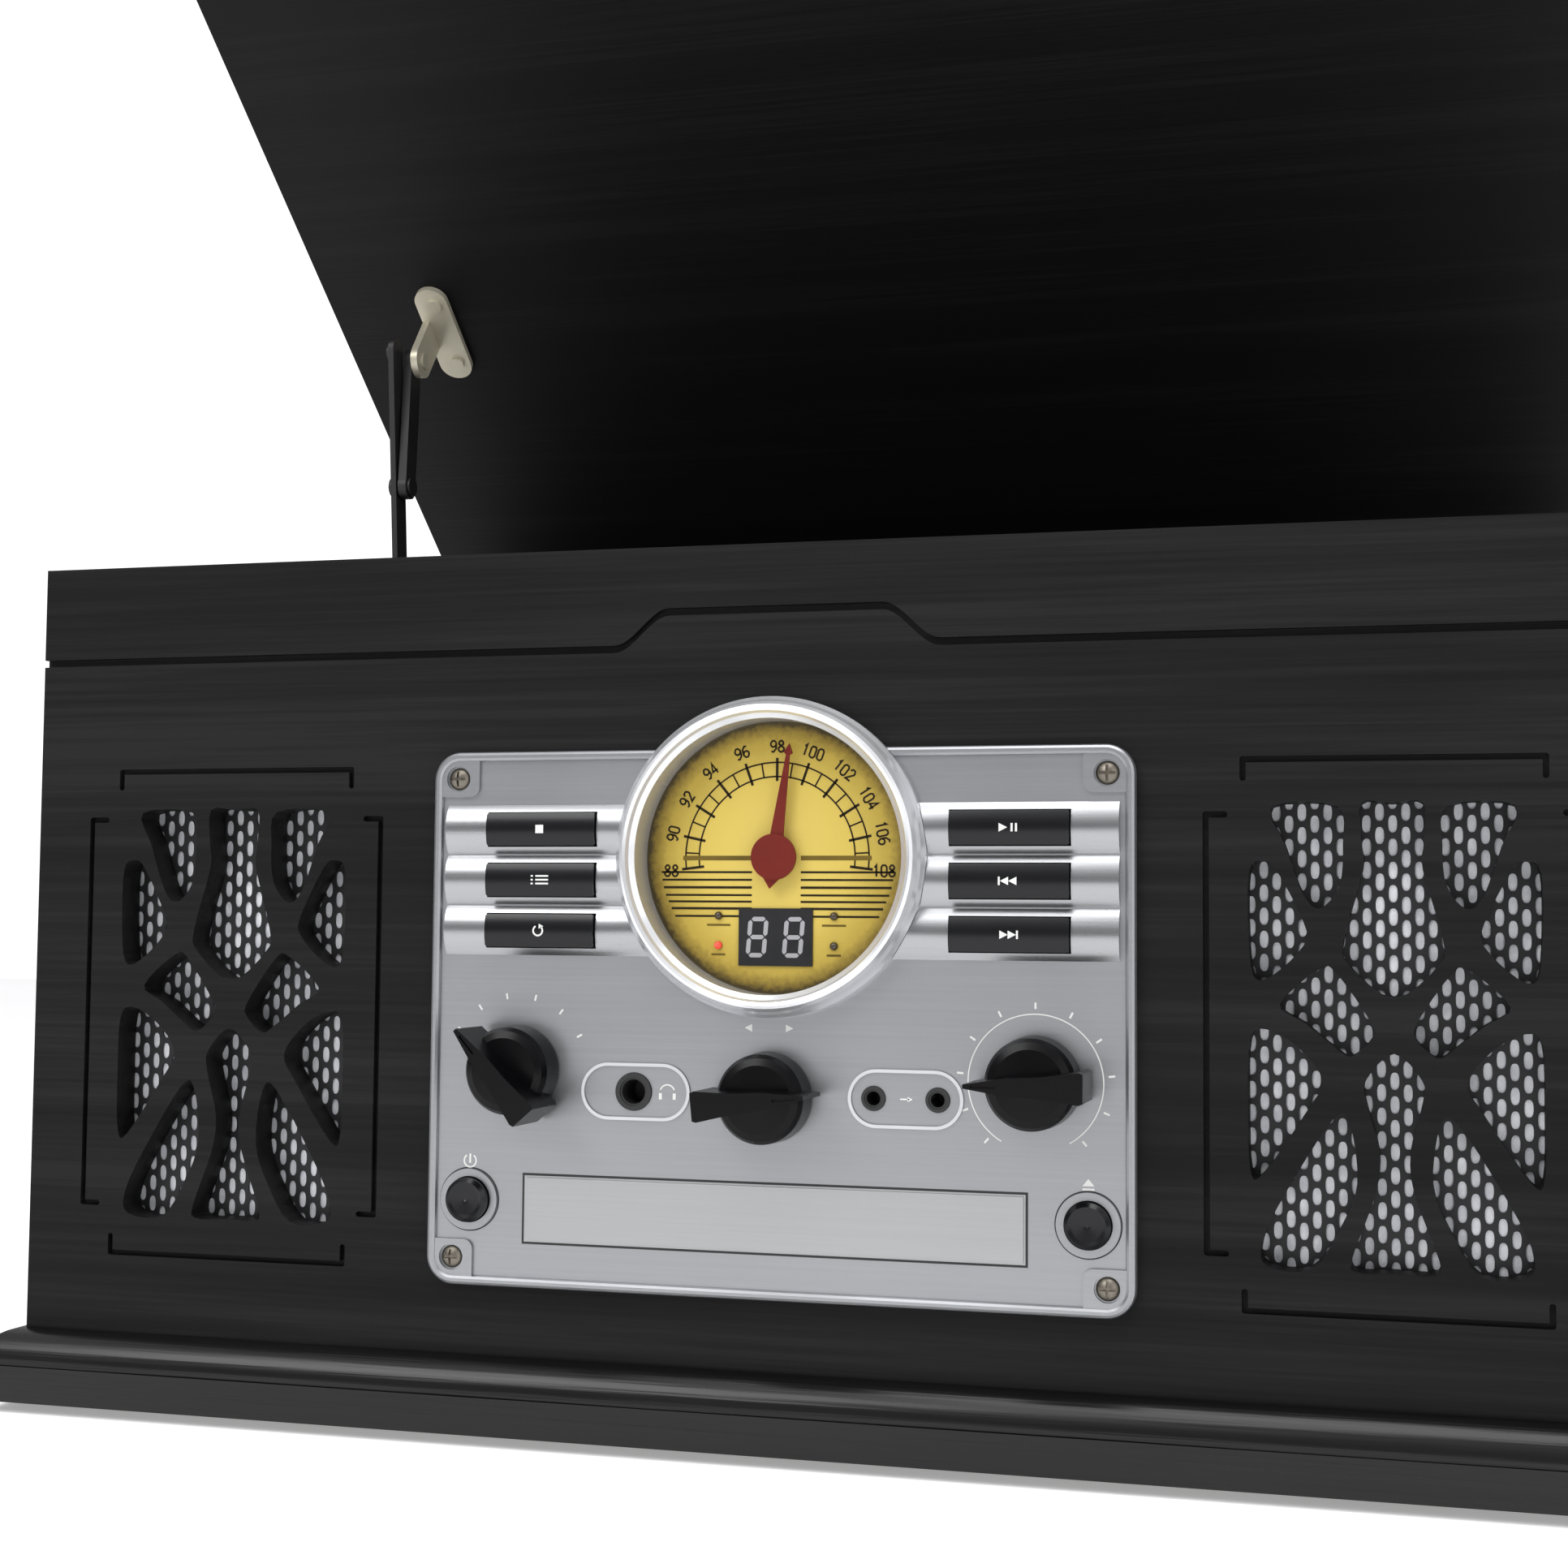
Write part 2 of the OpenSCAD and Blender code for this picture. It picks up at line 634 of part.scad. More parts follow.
module tab_shape() {
  arc = [for (i = [0:6]) [tab_w - tab_round, tab_h - tab_round] + tab_round * [cos(15 * i), sin(15 * i)]];
  tab = concat([[3, 3], [6, 1], [tab_w, 1]], arc, [[1, tab_h], [1, 6]]);
  for (i = [-1, 1], k = [-1, 1])
    polygon([for (p = tab) [i * (panel_w / 2 - p[0]), panel_h / 2 + k * (panel_h / 2 - p[1])]]);
}
module ring(r1, r0) difference() {
  circle(r1);
  circle(r0);
}
frame_w = 30;
frame_h = 15;
frame_line = 1;
module frame_ring() difference() {
  stroke([-(frame_w - frame_h) / 2, 0], [(frame_w - frame_h) / 2, 0], frame_h);
  stroke([-(frame_w - frame_h) / 2, 0], [(frame_w - frame_h) / 2, 0], frame_h - 2 * frame_line);
}
panel_post_r = 2.5;
panel_posts = [[42, 127.5], [42, 82]];
module control_panel() color("#b9bcc0") on_front() difference() {
  union() {
    linear_extrude(floor_t) panel_outline();
    difference() {
      union() {
        rim();
        linear_extrude(floor_t + button_out) tab_shape();
      }
      peg(0, dial_z, 0, rim_t + 1, bezel_r + 0.1);
    }
    for (s = [-1, 1]) {
      translate([s * round_x, round_z, 0]) linear_extrude(floor_t + button_out) ring(ring_r, round_r +
        play);
      translate([s * socket_x, socket_z, 0]) linear_extrude(floor_t + 0.5) frame_ring();
      for (p = panel_posts) peg(s * p[0], p[1], -board_at, tiny, panel_post_r);
    }
  }
  peg(0, dial_z, -1, rim_t + 9, dial_sleeve + 0.2);
  translate([0, 0, -1]) linear_extrude(rim_t + 4) {
    keys_at() square(key_fit, center = true);
    translate([0, door_z]) square([door_w + 2 * play, door_h + 2 * play], center = true);
    for (s = [-1, 1]) {
      translate([s * round_x, round_z]) circle(round_r + play);
      translate([s * knob_x, knob_z]) circle(bush_hole);
      translate([small_jack_x + s * socket_half, socket_z]) circle(small_jack_r);
    }
    translate([0, tuning_z]) circle(bush_hole);
    translate([big_jack_x, socket_z]) circle(big_jack_r);
  }
  for (i = [-1, 1], y = [screw_inset_z, panel_h - screw_inset_z]) {
    peg(i * (panel_w / 2 - screw_inset_x), y, -1, rim_t + 4, screw_shank + screw_fit);
    peg(i * (panel_w / 2 - screw_inset_x), y, floor_t, rim_t + 4, screw_sink);
  }
}

// Six convex chrome strips, stopping at the dial, with windows for the keys
strip_gap = 0.4;
strip_end = 4;
strip_chord = strip_pitch - strip_gap;
strip_r = (strip_chord * strip_chord / 4 + strip_bulge * strip_bulge) / (2 * strip_bulge);
module strip_profile() intersection() {
  translate([0, strip_bulge - strip_r]) circle(strip_r, $fn = 96);
  translate([-strip_chord / 2, 0]) square([strip_chord, strip_bulge + 1]);
}
module chrome_strips() color("#d8dade") on_front() difference() {
  for (k = [0:2]) translate([-panel_w / 2 + strip_end, strip_z + (k + 0.5) * strip_pitch, floor_t])
    rotate([90, 0, 90]) linear_extrude(panel_w - 2 * strip_end) strip_profile();
  linear_extrude(20) keys_at() square(key_fit, center = true);
  peg(0, dial_z, 0, 20, bezel_r + 0.1);
}

// Dial: bezel, lens, face, display, needle and cord
module bezel_shape() {
  polygon([
    [bezel_in, -dial_deep], [dial_sleeve, -dial_deep], [dial_sleeve, floor_t], [bezel_r, floor_t],
    [bezel_r, floor_t + 2.4], [bezel_r - 0.9, floor_t + 3.8], [bezel_r - 1.6, bezel_out - 1.6],
    [bezel_r - 2.4, bezel_out - 0.4], [bezel_r - 3.2, bezel_out], [bezel_r - 4, bezel_out - 0.4],
    [bezel_r - 4.6, bezel_out - 1.4], [bezel_in + 0.6, bezel_out - 2], [bezel_in, bezel_out - 2.6]
  ]);
}
module dial_bezel() color("#d5d7da") on_front() translate([0, dial_z, 0])
  rotate_extrude($fn = 128) bezel_shape();
lens_t = 1.5;
lens_out = bezel_out - 2.8;
module dial_lens() color("#e8ecee") on_front() peg(0, dial_z, lens_out - lens_t, lens_out, bezel_in,
  $fn = 128);
face_t = 1.5;
face_r = dial_sleeve - 0.4;
needle_shaft = 1.5;
module dial_face() color("#e4d264") on_front() difference() {
  union() {
    peg(0, dial_z, -dial_deep - face_t, -dial_deep, face_r);
    translate([0, dial_z, -board_at]) linear_extrude(board_at - dial_deep) ring(face_r, face_r - 2);
  }
  translate([0, display_z, -board_at]) linear_extrude(20) square([display_w, display_h], center = true);
  peg(0, dial_z, -board_at, 0, needle_shaft + 0.4);
  for (s = [-1, 1], y = led_up) peg(s * led_x, y, -board_at, 0, 1.1);
}
module display_window() color("#1b1b1c") on_front() {
  translate([0, display_z, -board_at]) linear_extrude(board_at - dial_deep + 0.6)
    square([display_w - 0.1, display_h - 0.1], center = true);
  for (s = [-1, 1], y = led_up) {
    peg(s * led_x, y, -board_at, -dial_deep + 0.3, 1);
    translate([s * led_x, y, -dial_deep + 0.3]) sphere(1);
  }
}
needle_out = -1.1;
needle_t = 0.6;
tail_len = 8.3;
drum_r = cord_ratio * cord_pulley_r;
cord_at = -board_at - board_t - 4;
groove_half = 1;
flange_up = 1.2;
module cord_wheel(r) rotate_extrude() polygon([
  [0, -groove_half - 0.8], [r + flange_up, -groove_half - 0.8], [r, -groove_half + 0.2], [r,
    groove_half - 0.2],
  [r + flange_up, groove_half + 0.8], [0, groove_half + 0.8]
]);
module needle() color("#7c241c") on_front() translate([0, dial_z, 0]) {
  rotate(-needle_turn) translate([0, 0, needle_out - needle_t]) linear_extrude(needle_t) polygon([
    [-2.1, 0], [-0.5, needle_len - 3], [-1.2, needle_len - 2.4], [0, needle_len], [1.2, needle_len - 2.4],
    [0.5, needle_len - 3], [2.1, 0], [2.6, -5], [0, -tail_len], [-2.6, -5]
  ]);
  peg(0, 0, needle_out - needle_t, needle_out + 0.6, hub_r);
  peg(0, 0, cord_at, needle_out, needle_shaft);
  translate([0, 0, cord_at]) cord_wheel(drum_r);
}
cord_t = 0.8;
cord_gap = 0.15;
module loop_2d(gap, big, small, far) {
  a = acos((big - small) / far);
  circle(big + gap);
  translate([0, -far]) circle(small + gap);
  polygon([
    (big + gap) * [sin(a), -cos(a)], [0, -far] + (small + gap) * [sin(a), -cos(a)],
    [0, -far] + (small + gap) * [-sin(a), -cos(a)], (big + gap) * [-sin(a), -cos(a)]
  ]);
}
module dial_cord() color("#c9c2ad") on_front() translate([0, dial_z, cord_at - 0.35])
  linear_extrude(0.7) difference() {
  loop_2d(cord_gap + cord_t, drum_r, cord_pulley_r, dial_z - tuning_z);
  loop_2d(cord_gap, drum_r, cord_pulley_r, dial_z - tuning_z);
}

// Knobs: a round body with a pointer bar across it; the shaft belongs to the knob
knob_at = floor_t + 0.6;
knob_recess = 6.4;
knob_top = knob_at + knob_len;
pot_deep = 8;
module knob(x, y, turn, deep) translate([x, y, 0]) {
  difference() {
    union() {
      rotate_extrude($fn = 96) polygon([
        [0, knob_at], [knob_r, knob_at], [knob_r, knob_at + 1], [knob_r - 0.3, knob_at + knob_base - 2.5],
        [knob_r - 1.2, knob_at + knob_base - 0.9], [knob_r - 3, knob_at + knob_base], [0, knob_at +
          knob_base + 0.6]
      ]);
      rotate(turn) translate([0, 0, knob_at + 2.5]) linear_extrude(knob_len - 2.5) polygon([
        [-pointer_reach, -pointer_w / 2], [-pointer_reach + 1, -pointer_w / 2 - 0.4], [-4, -2.6], [4, -2.2],
        [pointer_reach, -0.5], [pointer_reach, 0.5], [4, 2.2], [-4, 2.6],
        [-pointer_reach + 1, pointer_w / 2 + 0.4], [-pointer_reach, pointer_w / 2]
      ]);
    }
    peg(0, 0, 0, knob_at + 3, knob_recess);
    rotate(turn) translate([0, 0, knob_top - 0.6]) linear_extrude(1) translate([pointer_reach - 8,
      -0.3]) square([6, 0.6]);
  }
  peg(0, 0, -deep, knob_at + 4, shaft_r);
}
module function_knob() color("#161617") on_front() knob(-knob_x, knob_z, function_turn, pot_deep);
module volume_knob() color("#161617") on_front() knob(knob_x, knob_z, volume_turn, pot_deep);
module tuning_knob() color("#161617") on_front() {
  knob(0, tuning_z, tuning_turn, -cord_at + 1.8);
  translate([0, tuning_z, cord_at]) cord_wheel(cord_pulley_r);
}

// Control board behind the panel: controls, switches and their bushings
ctrl_half = knob_x + 21;
ctrl_low = knob_z - 11;
ctrl_high = dial_z + 18.2;
wing_w = 18;
can_r = 8.5;
can_front = 1.2;
switch_at = 5.9;
module control_board() color("#2f5a3a") on_front() difference() {
  union() {
    translate([0, 0, -board_at - board_t]) linear_extrude(board_t) {
      translate([-ctrl_half, ctrl_low]) square([2 * ctrl_half, ctrl_high - ctrl_low]);
      for (s = [-1, 1]) translate([s * (ctrl_half - wing_w / 2) - wing_w / 2, round_z - 8.5])
        square([wing_w, ctrl_low + 1 - round_z + 8.5]);
    }
    for (s = [-1, 1]) peg(s * knob_x, knob_z, -board_at - tiny, -can_front, can_r);
    peg(0, tuning_z, -board_at - tiny, -can_front, can_r - 2);
    for (p = [[-knob_x, knob_z], [knob_x, knob_z], [0, tuning_z]]) {
      peg(p[0], p[1], -can_front - tiny, knob_at + 1.9, bush_r);
      translate([p[0], p[1], floor_t + tiny]) cylinder(r = nut_r, h = nut_t, $fn = 6);
    }
    translate([0, 0, -board_at - tiny]) linear_extrude(board_at - switch_at) {
      keys_at() square([7, 6], center = true);
      for (s = [-1, 1]) translate([s * round_x, round_z]) square(7, center = true);
    }
    peg(0, dial_z, -board_at - tiny, -dial_deep - face_t - 0.3, needle_shaft + 1.6);
  }
  for (s = [-1, 1]) peg(s * knob_x, knob_z, -pot_deep - 0.4, 20, shaft_r + run_fit);
  peg(0, tuning_z, -20, 20, shaft_r + run_fit);
  peg(0, dial_z, -20, 0, needle_shaft + run_fit);
}

// Keys and round buttons: a cap, a flange behind the panel and a stem to the switch
key_flange = 1.1;
flange_at = 0.35;
flange_t = 1.2;
stem_end = switch_at - key_travel - 0.3;
key_stand = 1.3;
module key(s, k) color("#151516") on_front() translate([s * key_x, strip_z + (k + 0.5) * strip_pitch, 0]) {
  intersection() {
    translate([0, 0, -1]) linear_extrude(12) rounded(key_w, key_h, 0.6);
    translate([-key_w, 0, floor_t + strip_bulge - strip_r]) rotate([0, 90, 0])
      cylinder(r = strip_r + key_stand, h = 2 * key_w, $fn = 96);
  }
  translate([0, 0, -flange_at - flange_t]) linear_extrude(flange_t)
    square([key_w + 2 * key_flange, key_h + 2 * key_flange], center = true);
  translate([0, 0, -stem_end]) linear_extrude(stem_end) square(4, center = true);
}
module key_left_bottom() key(-1, 0);
module key_left_middle() key(-1, 1);
module key_left_top() key(-1, 2);
module key_right_bottom() key(1, 0);
module key_right_middle() key(1, 1);
module key_right_top() key(1, 2);
button_len = 5.4;
module round_button(s) color("#151516") on_front() translate([s * round_x, round_z, 0]) {
  rotate_extrude() polygon([
    [0, -stem_end], [2.5, -stem_end], [2.5, -flange_at - flange_t], [button_hole - 0.4,
      -flange_at - flange_t],
    [button_hole - 0.4, -flange_at], [round_r, -flange_at], [round_r, button_len - 1], [round_r - 1,
      button_len],
    [round_r - 2, button_len - 0.3], [0, button_len - 0.6]
  ]);
}
module round_button_left() round_button(-1);
module round_button_right() round_button(1);

// Front sockets: one large jack and two small ones, bored for their plugs
big_plug_r = 3.2;
module jack(x, r, bore, deep) translate([x, socket_z, 0]) difference() {
  union() {
    peg(0, 0, -board_at, floor_t + 0.6, r - 0.1);
    peg(0, 0, -board_at, -0.2, r + 1.6);
  }
  peg(0, 0, -deep, 10, bore);
  peg(0, 0, floor_t + 0.2, 10, bore + 0.5);
}
module front_sockets() color("#1a1a1b") on_front() {
  jack(big_jack_x, big_jack_r, big_plug_r, board_at - 1);
  for (s = [-1, 1]) jack(small_jack_x + s * socket_half, small_jack_r, plug_r, board_at - 1);
}

// CD drawer: front, tray with a disc recess, and the mechanism it slides in
door_back = 0.6;
tray_z = panel_z + door_z - tray_h / 2;
tray_y = front_y + door_back;
disc_margin = 8;
disc_y = tray_y + disc_margin + disc_r;
small_disc_r = 41;
laser_slot = 34;
channel_play = 0.4;
chassis_y = front_y + 12.4;
chassis_w = 146;
chassis_len = 160;
chassis_wall = 2;
module cd_door() color("#b9bcc0") on_front() translate([0, door_z, -door_back]) {
  linear_extrude(door_t - 0.5) square([door_w, door_h], center = true);
  linear_extrude(door_t) square([door_w - 1, door_h - 1], center = true);
}
module cd_tray() color("#1d1d1f") difference() {
  box(-tray_w / 2, tray_w / 2, tray_y, tray_y + tray_len, tray_z, tray_z + tray_h);
  bar_z(0, disc_y, tray_z + tray_h - disc_deep, tray_z + tray_h + 1, disc_r, $fn = 128);
  bar_z(0, disc_y, tray_z + tray_h - disc_deep - 1.2, tray_z + tray_h, small_disc_r, $fn = 96);
  box(-laser_slot / 2, laser_slot / 2, disc_y, tray_y + tray_len - 10, tray_z - 1, tray_z + tray_h);
  bar_z(0, disc_y, tray_z - 1, tray_z + tray_h, laser_slot / 2);
  box(-tray_w / 2 + 3, tray_w / 2 - 3, tray_y + 3, tray_y + tray_len - 3, tray_z - 1, tray_z + 2);
}
module cd_chassis() color("#8d9094") difference() {
  z0 = tray_z - channel_play - chassis_wall;
  z1 = tray_z + tray_h + channel_play + chassis_wall;
  x = chassis_w / 2;
  union() {
    box(-x, x, chassis_y, chassis_y + chassis_len, z0, z1);
    bar_z(0, disc_y, z1 - tiny, z1 + 5, 16);
    box(-42, 42, disc_y - 20, disc_y + 60, z0 - 12, z0 + tiny);
    for (i = [-1, 1], y = [chassis_y + 8, chassis_y + chassis_len - 8])
      translate([i * (x - 5) - 4, y - 4, floor_z]) cube([8, 8, z0 - floor_z + tiny]);
  }
  box(-tray_w / 2 - channel_play, tray_w / 2 + channel_play, chassis_y - 1, chassis_y + chassis_len - 4,
    tray_z - channel_play, tray_z + tray_h + channel_play);
  box(-36, 36, disc_y - 14, disc_y + 54, z0 - 10, z0 - 1);
}

// Main board, transformer and the rear sockets
main_gap = 9.5;
main_x = main_gap - inner_w;
main_w = 100;
main_y = -60;
main_len = 180;
standoff = 6;
// Its heat sink
sink_w = 34;
sink_len = 48;
fin_t = 1.6;
fin_h = 26;
module main_board() color("#2f5a3a") translate([main_x, main_y, floor_z]) {
  translate([0, 0, standoff]) cube([main_w, main_len, board_t]);
  for (x = [6, main_w - 6], y = [6, main_len - 6]) peg(x, y, 0, standoff + tiny, 3);
  translate([main_w - sink_w - 2, main_len - sink_len - 16, standoff + board_t - tiny]) {
    cube([sink_w, sink_len, 3]);
    for (i = [0:7]) translate([2 + i * sink_w / 8.5, 2, 0]) cube([fin_t, sink_len - 4, fin_h]);
  }
  for (x = [18, 38], y = [110, 134]) peg(x, y, standoff, standoff + board_t + 24, 8);
  for (x = [16, 40, 64], y = [24, 60]) translate([x, y, standoff + board_t - tiny]) cube([16, 10, 4]);
}
core_x = 112;
core_y = 60;
core_w = 62;
core_t = 26;
core_h = 52;
module transformer() color("#6e6f72") translate([core_x, core_y, floor_z]) {
  difference() {
    translate([0, 0, 3]) cube([core_w, core_t, core_h]);
    for (x = [10, core_w - 20]) translate([x, -1, 12]) cube([10, core_t + 2, core_h - 18]);
  }
  translate([9, -8, 11]) cube([core_w - 18, core_t + 16, core_h - 16]);
  translate([-8, 3, 0]) cube([core_w + 16, core_t - 6, 3.01]);
  for (x = [-4, core_w + 4]) peg(x, core_t / 2, 3, 5, 3);
}
rca_r = 4.15;
rca_len = 8;
rca_pin = 1.6;
module rear_sockets() color("#1a1a1b") {
  for (s = [-1, 1]) difference() {
    union() {
      bar_y(rca_x + s * rca_half, rca_z, back_y - back_t - 6, back_y + rca_len, rca_r);
      bar_y(rca_x + s * rca_half, rca_z, back_y, back_y + 1.5, rca_hole + 2);
      bar_y(rca_x + s * rca_half, rca_z, back_y - back_t - 3, back_y + 1, rca_hole - 0.2);
    }
    bar_y(rca_x + s * rca_half, rca_z, back_y - 4, back_y + rca_len + 1, rca_pin);
  }
  difference() {
    union() {
      bar_y(gland_x, gland_z, back_y - back_t - 3, back_y + 1, gland_r - 0.2);
      bar_y(gland_x, gland_z, back_y, back_y + 3, gland_r + 2.5);
    }
    bar_y(gland_x, gland_z, back_y - back_t - 4, back_y + 4, 3);
  }
}

// Lid and hinges. The lid's parts are drawn closed and turned open about the hinge pins
pin_off = 0.1;
hinge_y = back_y + pin_off + knuckle_r;
hinge_z = rim_z + lid_gap / 2;
module opened() translate([0, hinge_y, hinge_z]) rotate([-lid_open, 0, 0]) translate([0, -hinge_y,
  -hinge_z]) children();
lid_low = rim_z + lid_gap;
module lid_board() color("#2a2a2c") opened() box(-half_w, half_w, front_y, back_y, lid_low, lid_low +
  lid_t);
leaf_down = 26;
leaf_up = 10;
knuckle_gap = 0.3;
knuckle_n = 5;
knuckle_w = hinge_w / knuckle_n;
module knuckles(first, r, grow) for (i = [first:2:knuckle_n - 1])
  bar_x(hinge_y, hinge_z, -hinge_w / 2 + i * knuckle_w - grow, -hinge_w / 2 + (i + 1) * knuckle_w +
    grow, r);
module heads(z) for (i = [-1, 1]) translate([i * hinge_w / 3, back_y + leaf_t, z]) rotate([-90, 0, 0])
  intersection() {
    cylinder(r = 2.6, h = 1);
    translate([0, 0, -2.4]) sphere(3.4);
  }
module hinge_leaves_cabinet() color("#c3a25a") for (s = [-1, 1]) translate([s * hinge_x, 0, 0]) {
  difference() {
    box(-hinge_w / 2, hinge_w / 2, back_y, back_y + leaf_t, rim_z - leaf_down, hinge_z);
    knuckles(1, knuckle_r + 0.5, knuckle_gap);
  }
  knuckles(0, knuckle_r, 0);
  bar_x(hinge_y, hinge_z, -hinge_w / 2, hinge_w / 2, hinge_pin_r);
  heads(rim_z - 10);
}
module hinge_leaves_lid() color("#c3a25a") opened() for (s = [-1, 1]) translate([s * hinge_x, 0,
  0]) difference() {
  union() {
    difference() {
      box(-hinge_w / 2, hinge_w / 2, back_y, back_y + leaf_t, hinge_z, hinge_z + leaf_up + 1);
      knuckles(0, knuckle_r + 0.5, knuckle_gap);
    }
    knuckles(1, knuckle_r, -knuckle_gap);
    heads(hinge_z + 7.6);
  }
  bar_x(hinge_y, hinge_z, -hinge_w, hinge_w, hinge_pin_r + run_fit);
}

// Folding lid stay: arm on the left board, link on the lid, met at the elbow
stay_x = -inner_w + stay_inset;
arm_t = 2;
link_t = 3;
layer_gap = 0.8;
link_x = stay_x + arm_t + layer_gap;
ear_x = link_x + link_t + 0.3;
ear_t = 2.5;
pivot_a = [stay_pivot_y, rim_z - stay_pivot_down];
pivot_b_closed = [hinge_y - stay_lid_reach, hinge_z - stay_lid_drop];
pivot_b = [hinge_y, hinge_z] + turned(pivot_b_closed - [hinge_y, hinge_z], -lid_open);
upper_len = norm(pivot_b - pivot_a) - link_len + 0.35;
span = norm(pivot_b - pivot_a);
elbow_turn = acos((upper_len * upper_len + span * span - link_len * link_len) / (2 * upper_len * span));
span_dir = (pivot_b - pivot_a) / span;
elbow = pivot_a + upper_len * turned(span_dir, elbow_turn);
arm_dir = (elbow - pivot_a) / upper_len;
module plate_yz(x0, t) translate([x0, 0, 0]) rotate([90, 0, 90]) linear_extrude(t) children();
module bar_shape(a, b) stroke(a, b, stay_w);
module rivet(x0, x1, p, r) bar_x(p[0], p[1], x0, x1, r);
module stay_bracket() color("#8c8f93") {
  x0 = -inner_w;
  box(x0, x0 + 2, pivot_a[0] - 17, pivot_a[0] + 17, pivot_a[1] - 9, pivot_a[1] + 9);
  rivet(x0, stay_x - 0.3, pivot_a, 5);
  rivet(x0, stay_x + arm_t + 1.2, pivot_a, stay_pin_r);
  rivet(stay_x + arm_t + 0.3, stay_x + arm_t + 1.3, pivot_a, 3.2);
  for (s = [-1, 1]) rivet(x0 + 2 - tiny, x0 + 3, pivot_a + [s * 12, 0], 2.8);
}
module stay_arm() color("#6d7176") difference() {
  union() {
    plate_yz(stay_x, arm_t) bar_shape(pivot_a, pivot_a + (arm_reach - stay_w / 2) * arm_dir);
    rivet(stay_x - 1.2, stay_x + tiny, elbow, 3.4);
    rivet(stay_x - 1.2, stay_x + tiny, pivot_a + (arm_reach - stay_w / 2 - 1) * arm_dir, 3);
  }
  rivet(stay_x - 1, stay_x + arm_t + 1, pivot_a, stay_pin_r + run_fit);
}
module stay_link() color("#1a1a1c") difference() {
  union() {
    plate_yz(link_x, link_t) bar_shape(elbow, pivot_b);
    for (p = [elbow, pivot_b]) rivet(link_x, link_x + link_t, p, stay_w / 2 + 0.4);
    rivet(link_x + 0.6, link_x + link_t + 1, elbow, 3.4);
  }
  rivet(link_x - 1, link_x + link_t + 1, pivot_b, stay_pin_r + run_fit);
}
foot_w = 12;
foot_l = 40;
module stay_lid_bracket() color("#cfc9b8") {
  opened() {
    translate([ear_x + foot_w / 2, pivot_b_closed[0], lid_low - 2]) linear_extrude(2) rounded(foot_w,
      foot_l, foot_w / 2 - tiny);
    plate_yz(ear_x, ear_t) {
      translate([pivot_b_closed[0] - 6, pivot_b_closed[1]]) square([12, lid_low - pivot_b_closed[1] - 1]);
      translate(pivot_b_closed) circle(6);
    }
    for (s = [-1, 1]) translate([ear_x + foot_w / 2 + 1, pivot_b_closed[0] + s * 13,
      lid_low - 3]) cylinder(r = 2.6, h = 1.01);
  }
  rivet(link_x - 0.25, ear_x + ear_t, pivot_b, stay_pin_r);
  rivet(ear_x + ear_t - tiny, ear_x + ear_t + 1, pivot_b, 3);
}

// Turntable: platter on a fixed spindle, driven by a belt from a motor under the deck
platter_top = deck_z + platter_h;
mat_top = platter_top + mat_t;
skirt_t = 3;
belt_h = 4;
belt_t = 0.8;
belt_gap = 0.15;
belt_z = platter_top - platter_t - 1 - belt_h;
hub_out = 11;
flange_h = 2;
bearing_r = spindle_r + 0.45;
module platter() color("#b8bbbe") translate([platter_c[0], platter_c[1], 0]) rotate_extrude($fn = 128) {
  b = bearing_r + run_fit;
  polygon([
    [b, deck_z + flange_h + 0.4], [hub_out, deck_z + flange_h + 0.4], [hub_out, platter_top - platter_t],
    [drive_r - 3, platter_top - platter_t], [drive_r - 3, belt_z - 1], [drive_r, belt_z - 1],
    [drive_r, platter_top - platter_t], [platter_r - skirt_t, platter_top - platter_t],
    [platter_r - skirt_t, deck_z + 2], [platter_r - 0.8, deck_z + 2], [platter_r - 0.8, deck_z + 5],
    [platter_r, deck_z + 5.6], [platter_r, platter_top - 1], [platter_r - 1, platter_top], [b, platter_top]
  ]);
}
module slip_mat() color("#232324") translate([platter_c[0], platter_c[1], 0]) rotate_extrude($fn = 128)
  polygon([[bearing_r + run_fit, platter_top], [platter_r - 3, platter_top], [platter_r - 3, mat_top - 0.4],
    [platter_r - 4, mat_top], [bearing_r + run_fit, mat_top]]);
module record_spindle() color("#cfd1d4") translate([platter_c[0], platter_c[1], 0]) {
  peg(0, 0, deck_z - deck_t - 3, deck_z + flange_h, spindle_r + 1.4);
  peg(0, 0, deck_z, deck_z + flange_h, 15);
  translate([0, 0, deck_z - deck_t - 3]) cylinder(r = 8, h = 3, $fn = 6);
  peg(0, 0, deck_z, mat_top, bearing_r);
  peg(0, 0, mat_top - tiny, mat_top + spindle_h - 2, spindle_r);
  translate([0, 0, mat_top + spindle_h - 2]) cylinder(r1 = spindle_r, r2 = 1.4, h = 2);
}
motor_r = 16;
motor_h = 24;
motor_shaft = 1;
module motor() color("#8f9296") translate([motor_c[0], motor_c[1], 0]) {
  peg(0, 0, deck_z - deck_t - motor_h, deck_z - deck_t, motor_r);
  peg(0, 0, deck_z - deck_t - tiny, deck_z - 2, motor_hole - 1);
  peg(0, 0, deck_z - deck_t, belt_z + belt_h, motor_shaft);
}
module motor_pulley() color("#c9a353") translate([motor_c[0], motor_c[1], 0]) rotate_extrude() polygon([
  [motor_shaft + run_fit, belt_z - 1], [pulley_r + 1, belt_z - 1], [pulley_r + 1, belt_z - 0.4],
    [pulley_r, belt_z],
  [pulley_r, belt_z + belt_h], [pulley_r + 1, belt_z + belt_h + 0.4], [pulley_r + 1, belt_z + belt_h + 0.6],
  [motor_shaft + run_fit, belt_z + belt_h + 0.6]
]);
